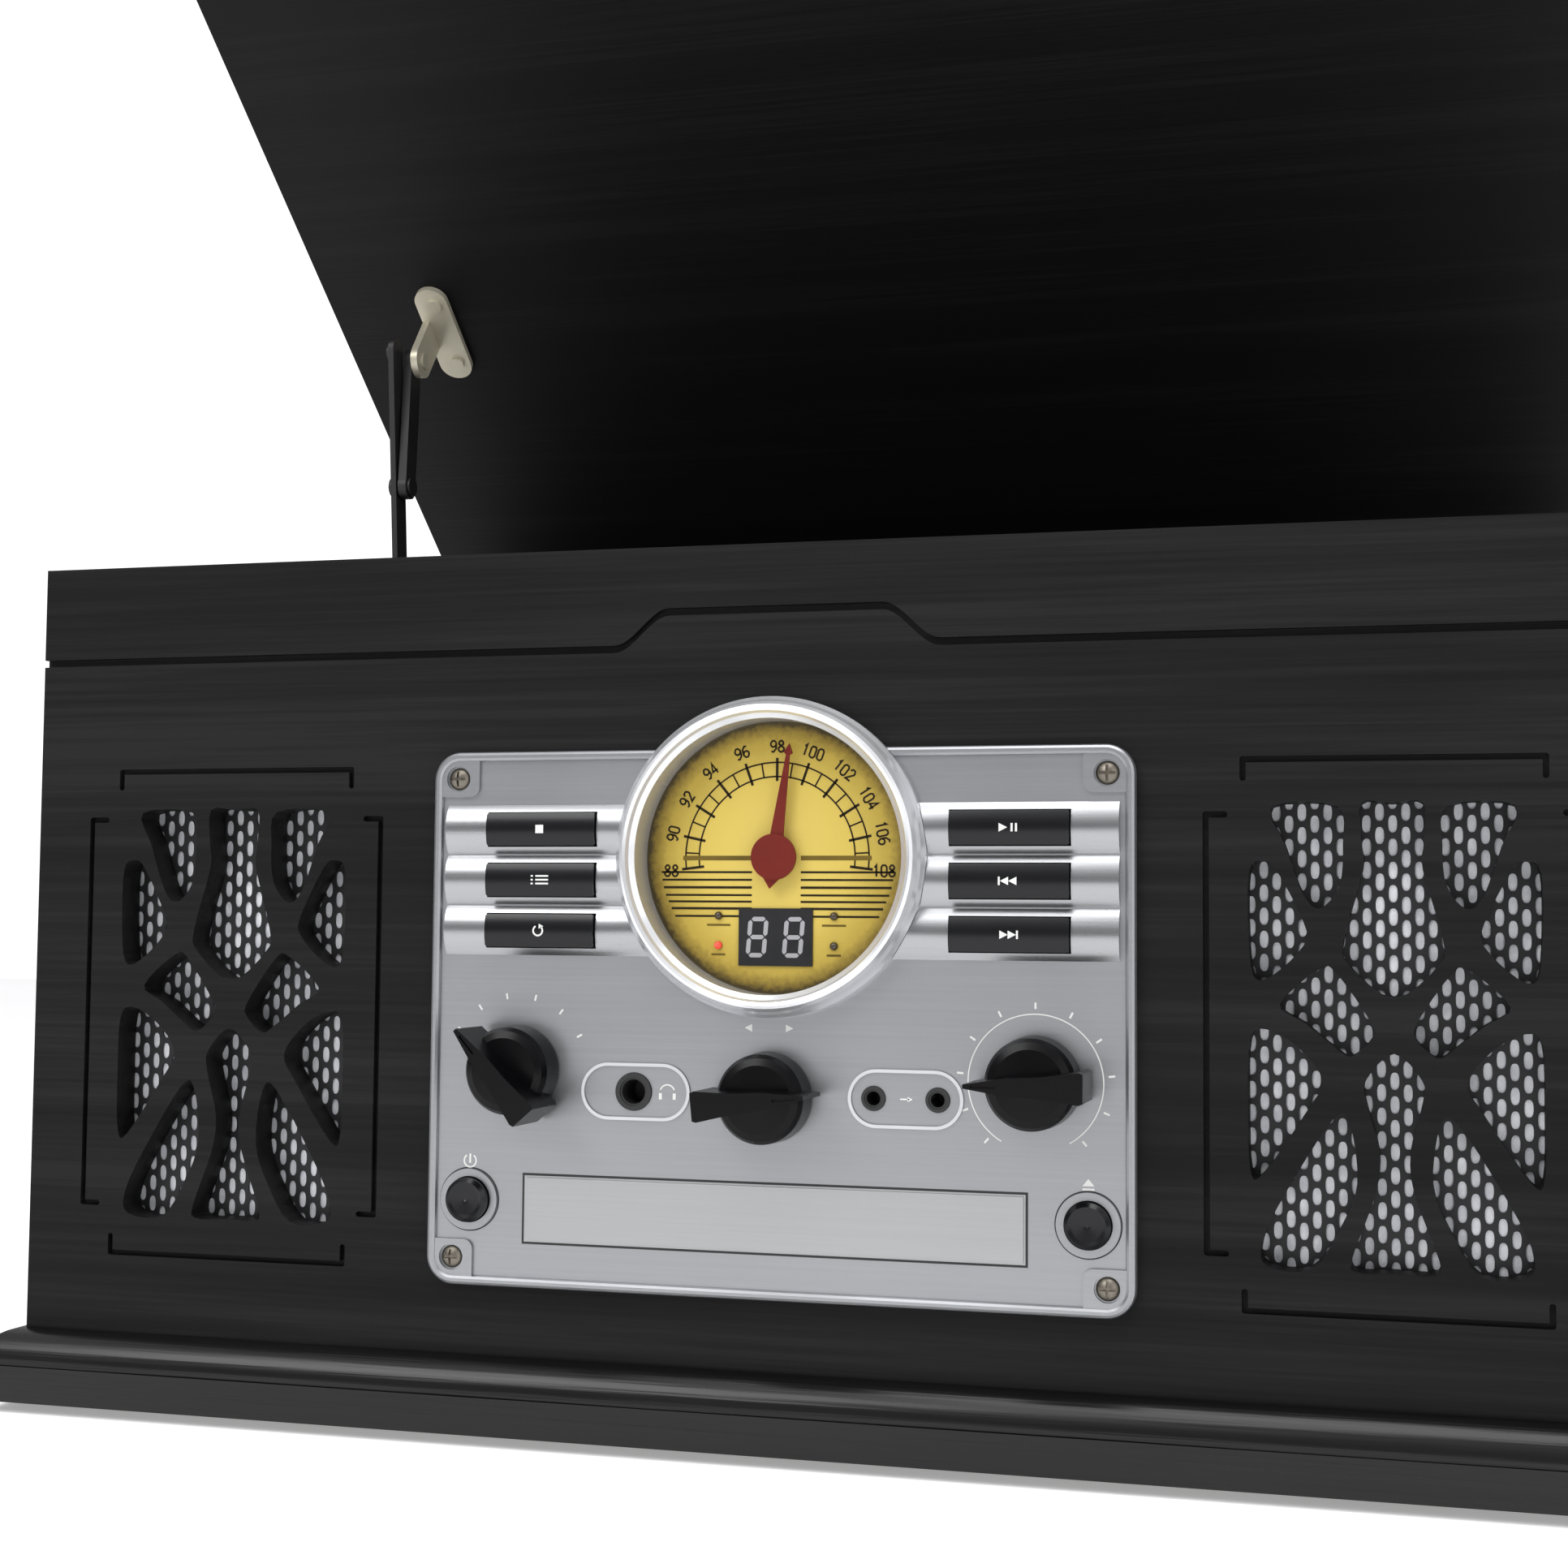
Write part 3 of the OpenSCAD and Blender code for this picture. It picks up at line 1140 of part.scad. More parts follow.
module drive_belt() color("#1c1c1c") translate([platter_c[0], platter_c[1], belt_z + 0.4])
  rotate(motor_angle + 90)
  linear_extrude(belt_h - 0.8) difference() {
    loop_2d(belt_gap + belt_t, drive_r, pulley_r, motor_away);
    loop_2d(belt_gap, drive_r, pulley_r, motor_away);
  }

// Tonearm: base with the cue post, swinging yoke, arm on a cross pin, cartridge and rest
module at_arm() translate([arm_x, arm_y, deck_z]) rotate(-arm_park) children();
base_r = 22;
base_h = 10;
yoke_pin = 1.5;
yoke_r = 14;
cheek_in = 7;
cheek_t = 3;
cue_reach = 32;
cue_at = [-cue_reach * sin(25), -cue_reach * cos(25)];
cue_post = 2.5;
cue_drop = 5;
lever_at = [17, -15];
lever_pin = 1.5;
lever_z = base_h + 5;
module tonearm_base() color("#4a4c50") at_arm() difference() {
  union() {
    peg(0, 0, 0, base_h, base_r);
    peg(0, 0, -deck_t - 4, tiny, post_r - 0.2);
    translate([cue_at[0], cue_at[1], 0]) cylinder(r = 6, h = base_h + 6);
    translate([cue_at[0] / 2 - 4, cue_at[1], 0]) cube([12, 16, base_h]);
    for (s = [-1, 1]) translate([lever_at[0] + s * 4 - 1.25, lever_at[1] - 4, 0]) cube([2.5, 8,
      lever_z + 3.5]);
    translate([lever_at[0] - 5.25, lever_at[1] - 4, 0]) cube([10.5, 10, base_h]);
  }
  peg(0, 0, -deck_t, base_h + 1, shaft_r + run_fit);
  peg(cue_at[0], cue_at[1], 1, base_h + 7, cue_post + run_fit);
  translate([lever_at[0] - 10, lever_at[1], lever_z]) rotate([0, 90, 0]) cylinder(r = lever_pin +
    run_fit, h = 20);
}
module tonearm_yoke() color("#9c9fa3") at_arm() difference() {
  union() {
    peg(0, 0, base_h + 0.4, base_h + 4, yoke_r);
    peg(0, 0, -deck_t + 0.5, base_h + 1, shaft_r);
    for (s = [-1, 1]) translate([s * (cheek_in + cheek_t / 2) - cheek_t / 2, -5, base_h + 3])
      cube([cheek_t, 10, arm_z - base_h + 2]);
  }
  translate([-20, 0, arm_z]) rotate([0, 90, 0]) cylinder(r = yoke_pin + run_fit, h = 40);
}
head_len = 34;
weight_r = 11;
module along_arm(y0, y1, r) translate([0, y1, arm_z]) rotate([90, 0, 0]) cylinder(r = r, h = y1 - y0);
module tonearm() color("#d3d5d8") at_arm() {
  along_arm(-arm_len + head_len - 4, 46, tube_r);
  along_arm(-6, 6, 5.4);
  along_arm(22, 44, weight_r);
  translate([-cheek_in - cheek_t, 0, arm_z]) rotate([0, 90, 0]) cylinder(r = yoke_pin,
    h = 2 * (cheek_in + cheek_t));
  translate([-9, -arm_len - 8, arm_z - 1.4]) cube([18, head_len - 8, 3]);
  translate([0, -arm_len + head_len - 10, arm_z - 1.4]) linear_extrude(3)
    polygon([[-9, -9], [9, -9], [tube_r, 8], [-tube_r, 8]]);
  translate([9 - tiny, -arm_len, arm_z - 0.6]) cube([9, 5, 1.4]);
}
stylus_drop = arm_z - platter_h - mat_t - 1.8;
module cartridge() color("#2b2b2d") at_arm() {
  translate([-8, -arm_len - 5, arm_z - 1.4 - 9]) cube([16, 20, 9]);
  translate([-2.5, -arm_len - 5, arm_z - 12]) cube([5, 7, 2]);
  translate([0, -arm_len, arm_z - stylus_drop]) cylinder(r1 = 0.3, r2 = 1, h = stylus_drop - 11.5);
}
rest_at = 150;
module arm_rest() color("#2b2b2d") at_arm() translate([0, -rest_at, 0]) difference() {
  union() {
    peg(0, 0, 0, 3, 8);
    peg(0, 0, 0, arm_z - tube_r - 3, 4);
    translate([-6, -3, arm_z - tube_r - 4]) cube([13, 6, 3.4]);
    translate([4.4, -3, arm_z - tube_r - 1]) cube([2.6, 6, 7]);
  }
  translate([0, 4, arm_z]) rotate([90, 0, 0]) cylinder(r = tube_r + 0.6, h = 8);
}
cue_gap = 0.5;
module cue_platform() color("#2b2b2d") at_arm() {
  peg(cue_at[0], cue_at[1], 2 + cue_drop, arm_z - tube_r - cue_gap, cue_post);
  translate([0, 0, arm_z - tube_r - cue_gap - 2]) rotate(-90 - 56) rotate_extrude(angle = 62)
    translate([cue_reach - 3.2, 0]) square([6.4, 2]);
}
module cue_lever() color("#c3c6c9") at_arm() translate([lever_at[0], lever_at[1], lever_z]) {
  translate([-5.2, 0, 0]) rotate([0, 90, 0]) cylinder(r = lever_pin, h = 10.4);
  translate([-2.4, 0, 0]) rotate([0, 90, 0]) cylinder(r = 3, h = 4.8);
  translate([-1.2, 0, 0]) rotate([-40, 0, 0]) translate([0, -20, -1.2]) cube([2.4, 20, 2.4]);
  rotate([-40, 0, 0]) translate([0, -20, 0]) sphere(3);
}
speed_at = [-165, -125];
module speed_lever() color("#c3c6c9") translate([speed_at[0], speed_at[1], deck_z]) {
  peg(0, 0, -deck_t + 1, 1, shaft_r);
  peg(0, 0, 0.4, 5, 8);
  rotate(-90) translate([0, -2, 1.2]) cube([20, 4, 3]);
  peg(0, -20, 1.2, 10, 3.5);
}

// Every sub-part, drawn alone or all together
front_board();
side_board_left();
side_board_right();
back_board();
bottom_board();
plinth_moulding();
rubber_feet();
deck_board();
battens();
case_screws();
speaker_sheets();
speaker_drivers();
control_panel();
chrome_strips();
dial_bezel();
dial_lens();
dial_face();
display_window();
needle();
dial_cord();
function_knob();
tuning_knob();
volume_knob();
control_board();
key_left_top();
key_left_middle();
key_left_bottom();
key_right_top();
key_right_middle();
key_right_bottom();
round_button_left();
round_button_right();
front_sockets();
cd_door();
cd_tray();
cd_chassis();
main_board();
transformer();
rear_sockets();
lid_board();
hinge_leaves_cabinet();
hinge_leaves_lid();
stay_bracket();
stay_arm();
stay_link();
stay_lid_bracket();
platter();
slip_mat();
record_spindle();
motor();
motor_pulley();
drive_belt();
tonearm_base();
tonearm_yoke();
tonearm();
cartridge();
arm_rest();
cue_lever();
cue_platform();
speed_lever();
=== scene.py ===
# %% [markdown]
# # Stereo music centre
# A black wood table-top cabinet with a lidded record player, a dial radio, a CD drawer and two
# speakers. Its solids come packed from the CAD model, and this file gives them their looks:
# procedural materials, the printing on dial, keys and panel, the perforated speaker screens,
# light and camera. Lengths are metres in the part's own frame: X right, Y to the rear, Z up.

# %%
import math

import bpy
import numpy as np
from mathutils import Matrix, Vector


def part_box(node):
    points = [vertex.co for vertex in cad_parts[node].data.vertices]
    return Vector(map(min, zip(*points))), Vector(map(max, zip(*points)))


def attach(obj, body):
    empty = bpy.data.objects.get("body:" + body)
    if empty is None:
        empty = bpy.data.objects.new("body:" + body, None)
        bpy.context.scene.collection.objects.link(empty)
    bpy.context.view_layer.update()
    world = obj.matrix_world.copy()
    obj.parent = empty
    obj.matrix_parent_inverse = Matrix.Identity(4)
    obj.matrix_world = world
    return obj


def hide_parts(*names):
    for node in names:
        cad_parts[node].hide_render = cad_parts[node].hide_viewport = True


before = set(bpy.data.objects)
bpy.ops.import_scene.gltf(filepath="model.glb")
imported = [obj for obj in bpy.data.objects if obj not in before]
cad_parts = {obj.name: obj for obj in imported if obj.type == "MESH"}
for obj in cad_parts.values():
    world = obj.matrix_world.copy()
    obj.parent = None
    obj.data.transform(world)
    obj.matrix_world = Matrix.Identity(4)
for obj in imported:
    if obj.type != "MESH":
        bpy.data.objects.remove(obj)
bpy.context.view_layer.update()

# %% [markdown]
# ## Sizes that the pieces share with the part
# Printing has to lie on a face of the CAD model, so these few heights and depths are repeated
# from its source. They are in millimetres, as the source has them, and pieces turn them into
# metres when their mesh is made.

# %%
MM = 0.001
PANEL_Z = 40.7          # lower edge of the silver panel
FRONT = -165.0          # front face of the cabinet
DIAL_Z = PANEL_Z + 113.3
FACE_Y = FRONT + 4.0    # printed face of the dial
FLOOR_Y = FRONT - 1.8   # floor of the silver panel

# %% [markdown]
# ## Shader graphs
# Grain and brushing need sums of several patterns. In the shader editor each sum is a Math node
# with its links; here a thin wrapper round a socket lets the sum be written as a sum, and one
# graph class holds the few kinds of node that all these finishes share.


# %%
class Sock:
    """An output socket; + - * / and the named calls each add one Math node."""

    def __init__(self, graph, out):
        self.graph, self.out = graph, out

    def math(self, op, *others):
        return self.graph.node("Math", dict(enumerate((self,) + others)), operation=op)

    def __add__(self, o): return self.math("ADD", o)
    def __sub__(self, o): return self.math("SUBTRACT", o)
    def __mul__(self, o): return self.math("MULTIPLY", o)
    def __truediv__(self, o): return self.math("DIVIDE", o)
    def __rsub__(self, o): return (self * -1.0) + o
    def __radd__(self, o): return self + o
    def __rmul__(self, o): return self * o
    def below(self, o): return self.math("LESS_THAN", o)
    def sine(self): return self.math("SINE")
    def size(self): return self.math("ABSOLUTE")
    def power(self, o): return self.math("POWER", o)

    def spread(self, a, b):
        """a where this is 0, b where it is 1, held to that range."""
        return self.graph.node("MapRange", {"Value": self, "To Min": a, "To Max": b}, "Result")


class Nodes:
    """A node tree, and the one method that adds nodes to it."""

    def __init__(self, tree):
        self.tree = tree

    def feed(self, socket, value):
        """Link an output to the socket, or set the socket's own value."""
        if isinstance(value, Sock):
            self.tree.links.new(value.out, socket)
        elif socket.type == "RGBA" and len(value) == 3:
            socket.default_value = (*value, 1)
        else:
            socket.default_value = value

    def node(self, kind, inputs, out=0, stops=(), **settings):
        """Add a node: its settings and ramp stops first, then its sockets; give one output."""
        node = self.tree.nodes.new("ShaderNode" + kind)
        for key, value in settings.items():
            setattr(node, key, value)
        band = node.color_ramp.elements if stops else []
        while len(band) < len(stops):
            band.new(0.5)
        for item, (place, rgb) in zip(band, stops):
            item.position = place
            item.color = (*rgb, 1)
        for key, value in inputs.items():
            self.feed(node.inputs[key], value)
        return Sock(self, node.outputs[out])

    def mix(self, fac, a, b):
        """Colour a where fac is 0, b where it is 1; 6, 7 and 2 are the Mix node's colour sockets."""
        return self.node("Mix", {0: fac, 6: a, 7: b}, 2, data_type="RGBA")


class Graph(Nodes):
    """One Principled material; fixed values are set on the shader's own sockets."""

    def __init__(self, name, **fixed):
        self.mat = bpy.data.materials.new(name)
        self.mat.use_nodes = True
        super().__init__(self.mat.node_tree)
        self.shader = self.tree.nodes["Principled BSDF"]
        self.set(**fixed)
        self.object = self.node("TexCoord", {}, "Object")
        self.x, self.y, self.z = (self.node("SeparateXYZ", {0: self.object}, i) for i in range(3))

    def set(self, **sockets):
        for key, value in sockets.items():
            self.feed(self.shader.inputs[key.replace("_", " ")], value)
        return self

    def stretched(self, scale):
        """Object coordinates scaled per axis, in cycles a metre."""
        return self.node("Mapping", {"Vector": self.object, "Scale": scale})

    def noise(self, where, detail, rough):
        sockets = {"Vector": where, "Scale": 1.0, "Detail": detail, "Roughness": rough}
        return self.node("TexNoise", sockets, "Fac")

    def ramp(self, fac, *stops):
        """A colour ramp; stops are (place, (r, g, b))."""
        return self.node("ValToRGB", {0: fac}, "Color", stops)

    def bump(self, height, strength, distance):
        sockets = {"Height": height, "Strength": strength, "Distance": distance}
        return self.set(Normal=self.node("Bump", sockets))


# %% [markdown]
# ## Materials
# The cabinet is fibreboard in black stained veneer, the panel brushed and painted metal, the
# knobs gloss plastic. A photograph could be projected on them, but it would only suit one view,
# so each finish is built from noise stretched along the grain or the brushing: the same pattern
# tints the colour, varies the roughness and, as a bump, catches the light.


# %%
def black_wood(name, along, dark=(0.0032, 0.0032, 0.0035), pale=(0.0112, 0.0112, 0.0118),
               rough=(0.5, 0.66), shine=0.16):
    """Black stained veneer: long streaks along one axis, fine open pores, satin lacquer."""
    g = Graph(name, Specular_IOR_Level=shine)
    slow, fast = 2.2, 95.0
    scale = [fast, fast, fast]
    scale[along] = slow
    bands = g.noise(g.stretched(scale), 5, 0.6)
    scale = [900.0, 900.0, 900.0]
    scale[along] = 14.0
    pores = g.noise(g.stretched(scale), 2, 0.5)
    cloud = g.noise(g.stretched((9, 9, 9)), 2, 0.5)
    grain = bands * 0.6 + pores * 0.28 + cloud * 0.12
    between = tuple((a + b) / 2.3 for a, b in zip(dark, pale))
    g.set(
        Base_Color=g.ramp(grain, (0.4, dark), (0.5, between), (0.6, pale)),
        Roughness=pores.spread(*rough),
    )
    return g.bump(pores * 0.7 + bands * 0.3, 0.35, 0.0004).mat


# %% [markdown]
# ## Metal
# The panel and its strips are brushed along X, which draws their highlights out sideways; hinges,
# arm and platter are plain. An anisotropic shader could do the brushing, but the export bakes only
# some sockets, so fine noise stretched along the brushing tints, roughens and bumps instead.


# %%
def metal(name, colour, rough, brush=None, strength=0.12, metallic=1.0, tone=0.08):
    """Bare or painted metal with fine brushing along one axis, or a faint mottle."""
    g = Graph(name, Metallic=metallic)
    scale = [1400.0, 1400.0, 1400.0] if brush is not None else [160.0, 160.0, 160.0]
    if brush is not None:
        scale[brush] = 12.0
    lines = g.noise(g.stretched(scale), 3, 0.6)
    soft = g.noise(g.stretched((22, 22, 22)), 2, 0.5)
    low = tuple(c * (1 - tone) for c in colour)
    high = tuple(min(1, c * (1 + tone)) for c in colour)
    g.set(
        Base_Color=g.ramp(lines * 0.6 + soft * 0.4, (0.3, low), (0.7, high)),
        Roughness=(lines * 0.5 + soft * 0.5).spread(rough * 0.85, rough * 1.2),
    )
    return g.bump(lines, strength, 0.00005).mat


# %% [markdown]
# ## Moulded plastic
# Knobs, keys and sockets are moulded. A single colour looks like no real plastic: handling marks
# change its gloss by patches, and the mould leaves a fine texture, which is a bump of its own.


# %%
def plastic(name, colour, rough, coat=0.0, mottle=400.0, tone=0.12, strength=0.08, shine=0.5):
    """Moulded plastic: near-even colour, a trace of mould texture and handling marks."""
    g = Graph(name, Coat_Weight=coat, Coat_Roughness=0.12, Specular_IOR_Level=shine)
    fine = g.noise(g.stretched((mottle,) * 3), 2, 0.6)
    marks = g.noise(g.stretched((30, 30, 60)), 4, 0.6)
    low = tuple(c * (1 - tone) for c in colour)
    high = tuple(min(1, c * (1 + tone)) for c in colour)
    g.set(
        Base_Color=g.ramp(marks, (0.3, low), (0.7, high)),
        Roughness=marks.spread(rough * 0.8, rough * 1.25),
    )
    return g.bump(fine, strength, 0.00008).mat


# %% [markdown]
# ## Unfinished wood
# What is never seen on the shelf isn't painted: the bottom is particle board, with no direction,
# and the battens are sawn softwood, with grain along their length.


# %%
def raw_wood(name, along, pale=(0.42, 0.29, 0.17), dark=(0.24, 0.15, 0.08)):
    """Unfinished particle or batten wood for what is never painted."""
    g = Graph(name)
    scale = [260.0, 260.0, 260.0]
    if along is not None:
        scale[along] = 9.0
    grain = g.noise(g.stretched(scale), 5, 0.65)
    g.set(Base_Color=g.ramp(grain, (0.35, dark), (0.65, pale)), Roughness=grain.spread(0.7, 0.9))
    return g.bump(grain, 0.3, 0.0003).mat


# %% [markdown]
# ## Dial card
# The dial is a printed card lit from behind its rim: warm yellow, darker towards a brown edge, and
# nearly black at the very rim, which is painted shadow of the bezel on the card. The distance from
# the dial's middle, worked out from the coordinates, drives one ramp, with a little noise added so
# that the rings of colour don't look drawn with compasses.


# %%
def dial_paper():
    """Warm yellow card, darker towards the rim, with a near-black outer ring that is painted shadow of the
    bezel.
    """
    g = Graph("dial_paper", Specular_IOR_Level=0.35)
    dx, dz = g.x * 1000.0, g.z * 1000.0 - DIAL_Z
    r = (dx * dx + dz * dz).power(0.5) / 36.0
    speck = g.noise(g.stretched((700, 700, 700)), 3, 0.6)
    # The last two stops, near black at the rim, are painted shadow where the bezel overlaps the card.
    tint = g.ramp(
        r + (speck - 0.5) * 0.08,
        (0.0, (0.74, 0.57, 0.13)), (0.55, (0.68, 0.51, 0.10)), (0.84, (0.50, 0.36, 0.055)),
        (0.93, (0.22, 0.15, 0.02)), (0.97, (0.05, 0.034, 0.006)),
    )
    g.set(Base_Color=tint, Roughness=speck.spread(0.38, 0.55))
    return g.bump(speck, 0.05, 0.00005).mat


# %% [markdown]
# ## Clear lens
# A clear cover lies over the dial. Transmission gives the truest glass, but light has to get to the
# dial through it, and soft light through glass is slow and noisy. A dark surface that is nearly all
# transparent lets the light through and keeps a faint sheen, without a milky veil.


# %%
def clear_lens():
    """Clear cover: nearly all light goes through, with a faint haze on it."""
    g = Graph("clear_lens", IOR=1.49)
    haze = g.noise(g.stretched((60, 60, 60)), 3, 0.5)
    g.set(
        Base_Color=g.ramp(haze, (0.3, (0.015, 0.015, 0.016)), (0.7, (0.025, 0.025, 0.026))),
        Roughness=haze.spread(0.02, 0.06), Alpha=haze.spread(0.015, 0.03),
    )
    return g.mat


# %% [markdown]
# ## Circuit board
# Inside are green lacquered boards. Where a noise is near its middle value it makes thin winding
# lines, and those, a little paler and raised, stand for the copper tracks under the lacquer.


# %%
def circuit_green():
    """Green lacquered board with slightly raised tracks."""
    g = Graph("circuit_green", Coat_Weight=0.4)
    track = g.noise(g.stretched((420, 420, 420)), 1, 0.3)
    lane = (track - 0.5).size().below(0.035)
    g.set(Base_Color=g.mix(lane, (0.012, 0.075, 0.03), (0.03, 0.15, 0.06)), Roughness=track.spread(0.3, 0.5))
    return g.bump(lane, 0.2, 0.00005).mat


# %% [markdown]
# ## Rubber
# Feet and belt are plain rubber, and the mat on the platter has fine rings. The rings are a sine of
# the distance from the spindle, used as a bump, since cut grooves would cost many faces.


# %%
def rubber(name, rings=None):
    """Matt rubber; rings=(x, y, pitch) cuts concentric ridges round a vertical axis."""
    g = Graph(name, Specular_IOR_Level=0.25)
    dust = g.noise(g.stretched((300, 300, 300)), 4, 0.6)
    worn = g.ramp(dust, (0.3, (0.012, 0.012, 0.012)), (0.75, (0.04, 0.04, 0.042)))
    g.set(Base_Color=worn, Roughness=dust.spread(0.7, 0.95))
    if not rings:
        return g.bump(dust, 0.2, 0.0001).mat
    dx, dy = g.x - rings[0], g.y - rings[1]
    ridge = ((dx * dx + dy * dy).power(0.5) * (2 * math.pi / rings[2])).sine()
    return g.bump(ridge, 0.5, 0.0003).mat


# %% [markdown]
# ## Speaker gauze
# Through the slots of the speaker sheets shows a pale woven gauze with a silvery look. Two crossed
# sines are its weave.


# %%
def speaker_cloth():
    """Pale silvery gauze behind the speaker screens."""
    g = Graph("speaker_cloth", Metallic=0.35)
    weave = (g.x * 9000.0).sine() * (g.z * 9000.0).sine()
    patch = g.noise(g.stretched((120, 120, 120)), 3, 0.6)
    thread = g.ramp(patch, (0.3, (0.50, 0.51, 0.55)), (0.7, (0.86, 0.87, 0.90)))
    g.set(Base_Color=thread, Roughness=patch.spread(0.35, 0.55))
    return g.bump(weave, 0.2, 0.0001).mat


# %% [markdown]
# ## Lamps
# Four small domes beside the display tell what is playing. The lit one gets a weak emission.


# %%
def lamp(name, colour, glow):
    """A small lamp: tinted dome, lit or unlit."""
    g = Graph(name, Coat_Weight=0.5, Emission_Strength=glow)
    spot = g.noise(g.stretched((900, 900, 900)), 2, 0.5)
    g.set(
        Base_Color=g.ramp(spot, (0.3, tuple(c * 0.8 for c in colour)), (0.7, colour)),
        Roughness=spot.spread(0.15, 0.3),
        Emission_Color=g.ramp(spot, (0.3, tuple(c * 0.9 for c in colour)), (0.7, colour)),
    )
    return g.mat


# %% [markdown]
# ## The finishes of this object
# Each finish is made once and shared by all the pieces that have it. The colours are linear values,
# brought close to the photograph by setting the mean of a small area in the render against it.

# %%
WOOD_X = black_wood("black_wood_x", 0)
WOOD_Y = black_wood("black_wood_y", 1)
# The lid's copy of the veneer is a little darker, with fainter grain and less shine: the darkening is
# painted shade on its underside, which faces down.
SHADED_LID_WOOD = black_wood("black_wood_lid", 0, (0.0050, 0.0050, 0.0052), (0.0078, 0.0078, 0.0081),
                      (0.45, 0.55), 0.12)
PLINTH = black_wood("black_wood_plinth", 0, (0.002, 0.002, 0.0022), (0.005, 0.005, 0.0055),
                    (0.22, 0.30), 0.36)
SILVER = metal("silver_panel", (0.345, 0.352, 0.366), 0.36, brush=0, metallic=0.85, tone=0.05)
DOOR = metal("silver_door", (0.405, 0.412, 0.420), 0.34, brush=0, metallic=0.85, tone=0.04)
STRIP = metal("chrome_strip", (0.37, 0.376, 0.388), 0.27, brush=0, tone=0.03)
BEZEL = metal("chrome_bezel", (0.78, 0.79, 0.81), 0.24, metallic=0.68, tone=0.02, strength=0.03)
# A pale, almost non-metallic finish that paints highlights on the edges of the socket frame rings.
FRAME_HIGHLIGHT = metal("bright_edge", (0.60, 0.61, 0.63), 0.3, metallic=0.2, tone=0.02, strength=0.03)
STEEL = metal("plain_steel", (0.50, 0.50, 0.52), 0.36, tone=0.1)
GREY = metal("grey_enamel", (0.22, 0.23, 0.24), 0.4, metallic=0.5)
BRASS = metal("brass", (0.72, 0.55, 0.27), 0.28, tone=0.1)
CREAM = metal("cream_enamel", (0.60, 0.56, 0.44), 0.35, metallic=0.3)
DISC = metal("turned_aluminium", (0.60, 0.61, 0.62), 0.3, tone=0.05)
GLOSS = plastic("black_gloss", (0.003, 0.0032, 0.0048), 0.25, shine=0.35)
MATT = plastic("black_matt", (0.016, 0.016, 0.017), 0.5, strength=0.25)
KNOB = plastic("black_knob", (0.0014, 0.0014, 0.0019), 0.27, shine=0.16, strength=0.12)
WINDOW = plastic("smoke_window", (0.020, 0.020, 0.022), 0.3, shine=0.25, tone=0.2)
DIGIT = plastic("digit_grey", (0.38, 0.38, 0.40), 0.4, tone=0.06)
NEEDLE = plastic("needle_red", (0.155, 0.012, 0.006), 0.5, shine=0.25)
INK = plastic("dial_ink", (0.022, 0.013, 0.003), 0.6, tone=0.3, shine=0.2)
PALE_INK = plastic("dial_ink_pale", (0.15, 0.10, 0.015), 0.6, tone=0.3, shine=0.2)
WHITE = plastic("white_ink", (0.72, 0.72, 0.70), 0.5, tone=0.06)
SCREEN = metal("screen_black", (0.020, 0.020, 0.022), 0.42, metallic=0.4, tone=0.2)
CORD = plastic("woven_cord", (0.55, 0.50, 0.38), 0.8, tone=0.2, strength=0.4)
BOARD_WOOD, BATTEN_WOOD = raw_wood("raw_board", None), raw_wood("raw_batten", 1)
print("materials", len(bpy.data.materials))

# %% [markdown]
# ## Materials on the CAD nodes
# Every CAD node comes with one plain slot. A table from finish to node names is easier to keep
# whole than a line for each node, and the last line shows at once if a node was forgotten.

# %%
skins = {
    WOOD_X: "front_board deck_board", WOOD_Y: "side_board_left side_board_right",
    SHADED_LID_WOOD: "lid_board", PLINTH: "plinth_moulding",
    plastic("back_black", (0.02, 0.02, 0.021), 0.6, tone=0.25, strength=0.4): "back_board",
    BOARD_WOOD: "bottom_board", BATTEN_WOOD: "battens",
    rubber("rubber_plain"): "rubber_feet drive_belt",
    rubber("rubber_mat", (-0.025, -0.001, 0.0025)): "slip_mat",
    metal("bronzed_steel", (0.20, 0.18, 0.15), 0.4, tone=0.15): "case_screws",
    STEEL: "stay_bracket transformer cd_chassis motor tonearm_yoke cue_lever",
    GREY: "speaker_drivers tonearm_base", SCREEN: "speaker_sheets", SILVER: "control_panel", DOOR: "cd_door",
    STRIP: "chrome_strips", BEZEL: "dial_bezel record_spindle tonearm speed_lever",
    clear_lens(): "dial_lens", dial_paper(): "dial_face", WINDOW: "display_window", NEEDLE: "needle",
    CORD: "dial_cord", KNOB: "function_knob tuning_knob volume_knob",
    GLOSS: "key_left_top key_left_middle key_left_bottom key_right_top key_right_middle key_right_bottom "
           "round_button_left round_button_right",
    circuit_green(): "control_board main_board",
    MATT: "front_sockets cd_tray rear_sockets stay_link cartridge arm_rest cue_platform stay_arm",
    BRASS: "hinge_leaves_cabinet hinge_leaves_lid motor_pulley", CREAM: "stay_lid_bracket", DISC: "platter",
}
done = set()
for material, names in skins.items():
    for name in names.split():
        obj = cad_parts[name]
        if not obj.material_slots:
            obj.data.materials.append(material)
        for place in obj.material_slots:
            place.material = material
        done.add(name)
print("left without a material:", sorted(set(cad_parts) - done))

# %% [markdown]
# ## Surfaces from arrays
# The printing is a film of ink a few hundredths of a millimetre thick. It could be painted with
# masks in a shader, but a real thin slab stays sharp from near by.
# A line is a ribbon: points on both sides of a path, half a width away, mitred at its corners.


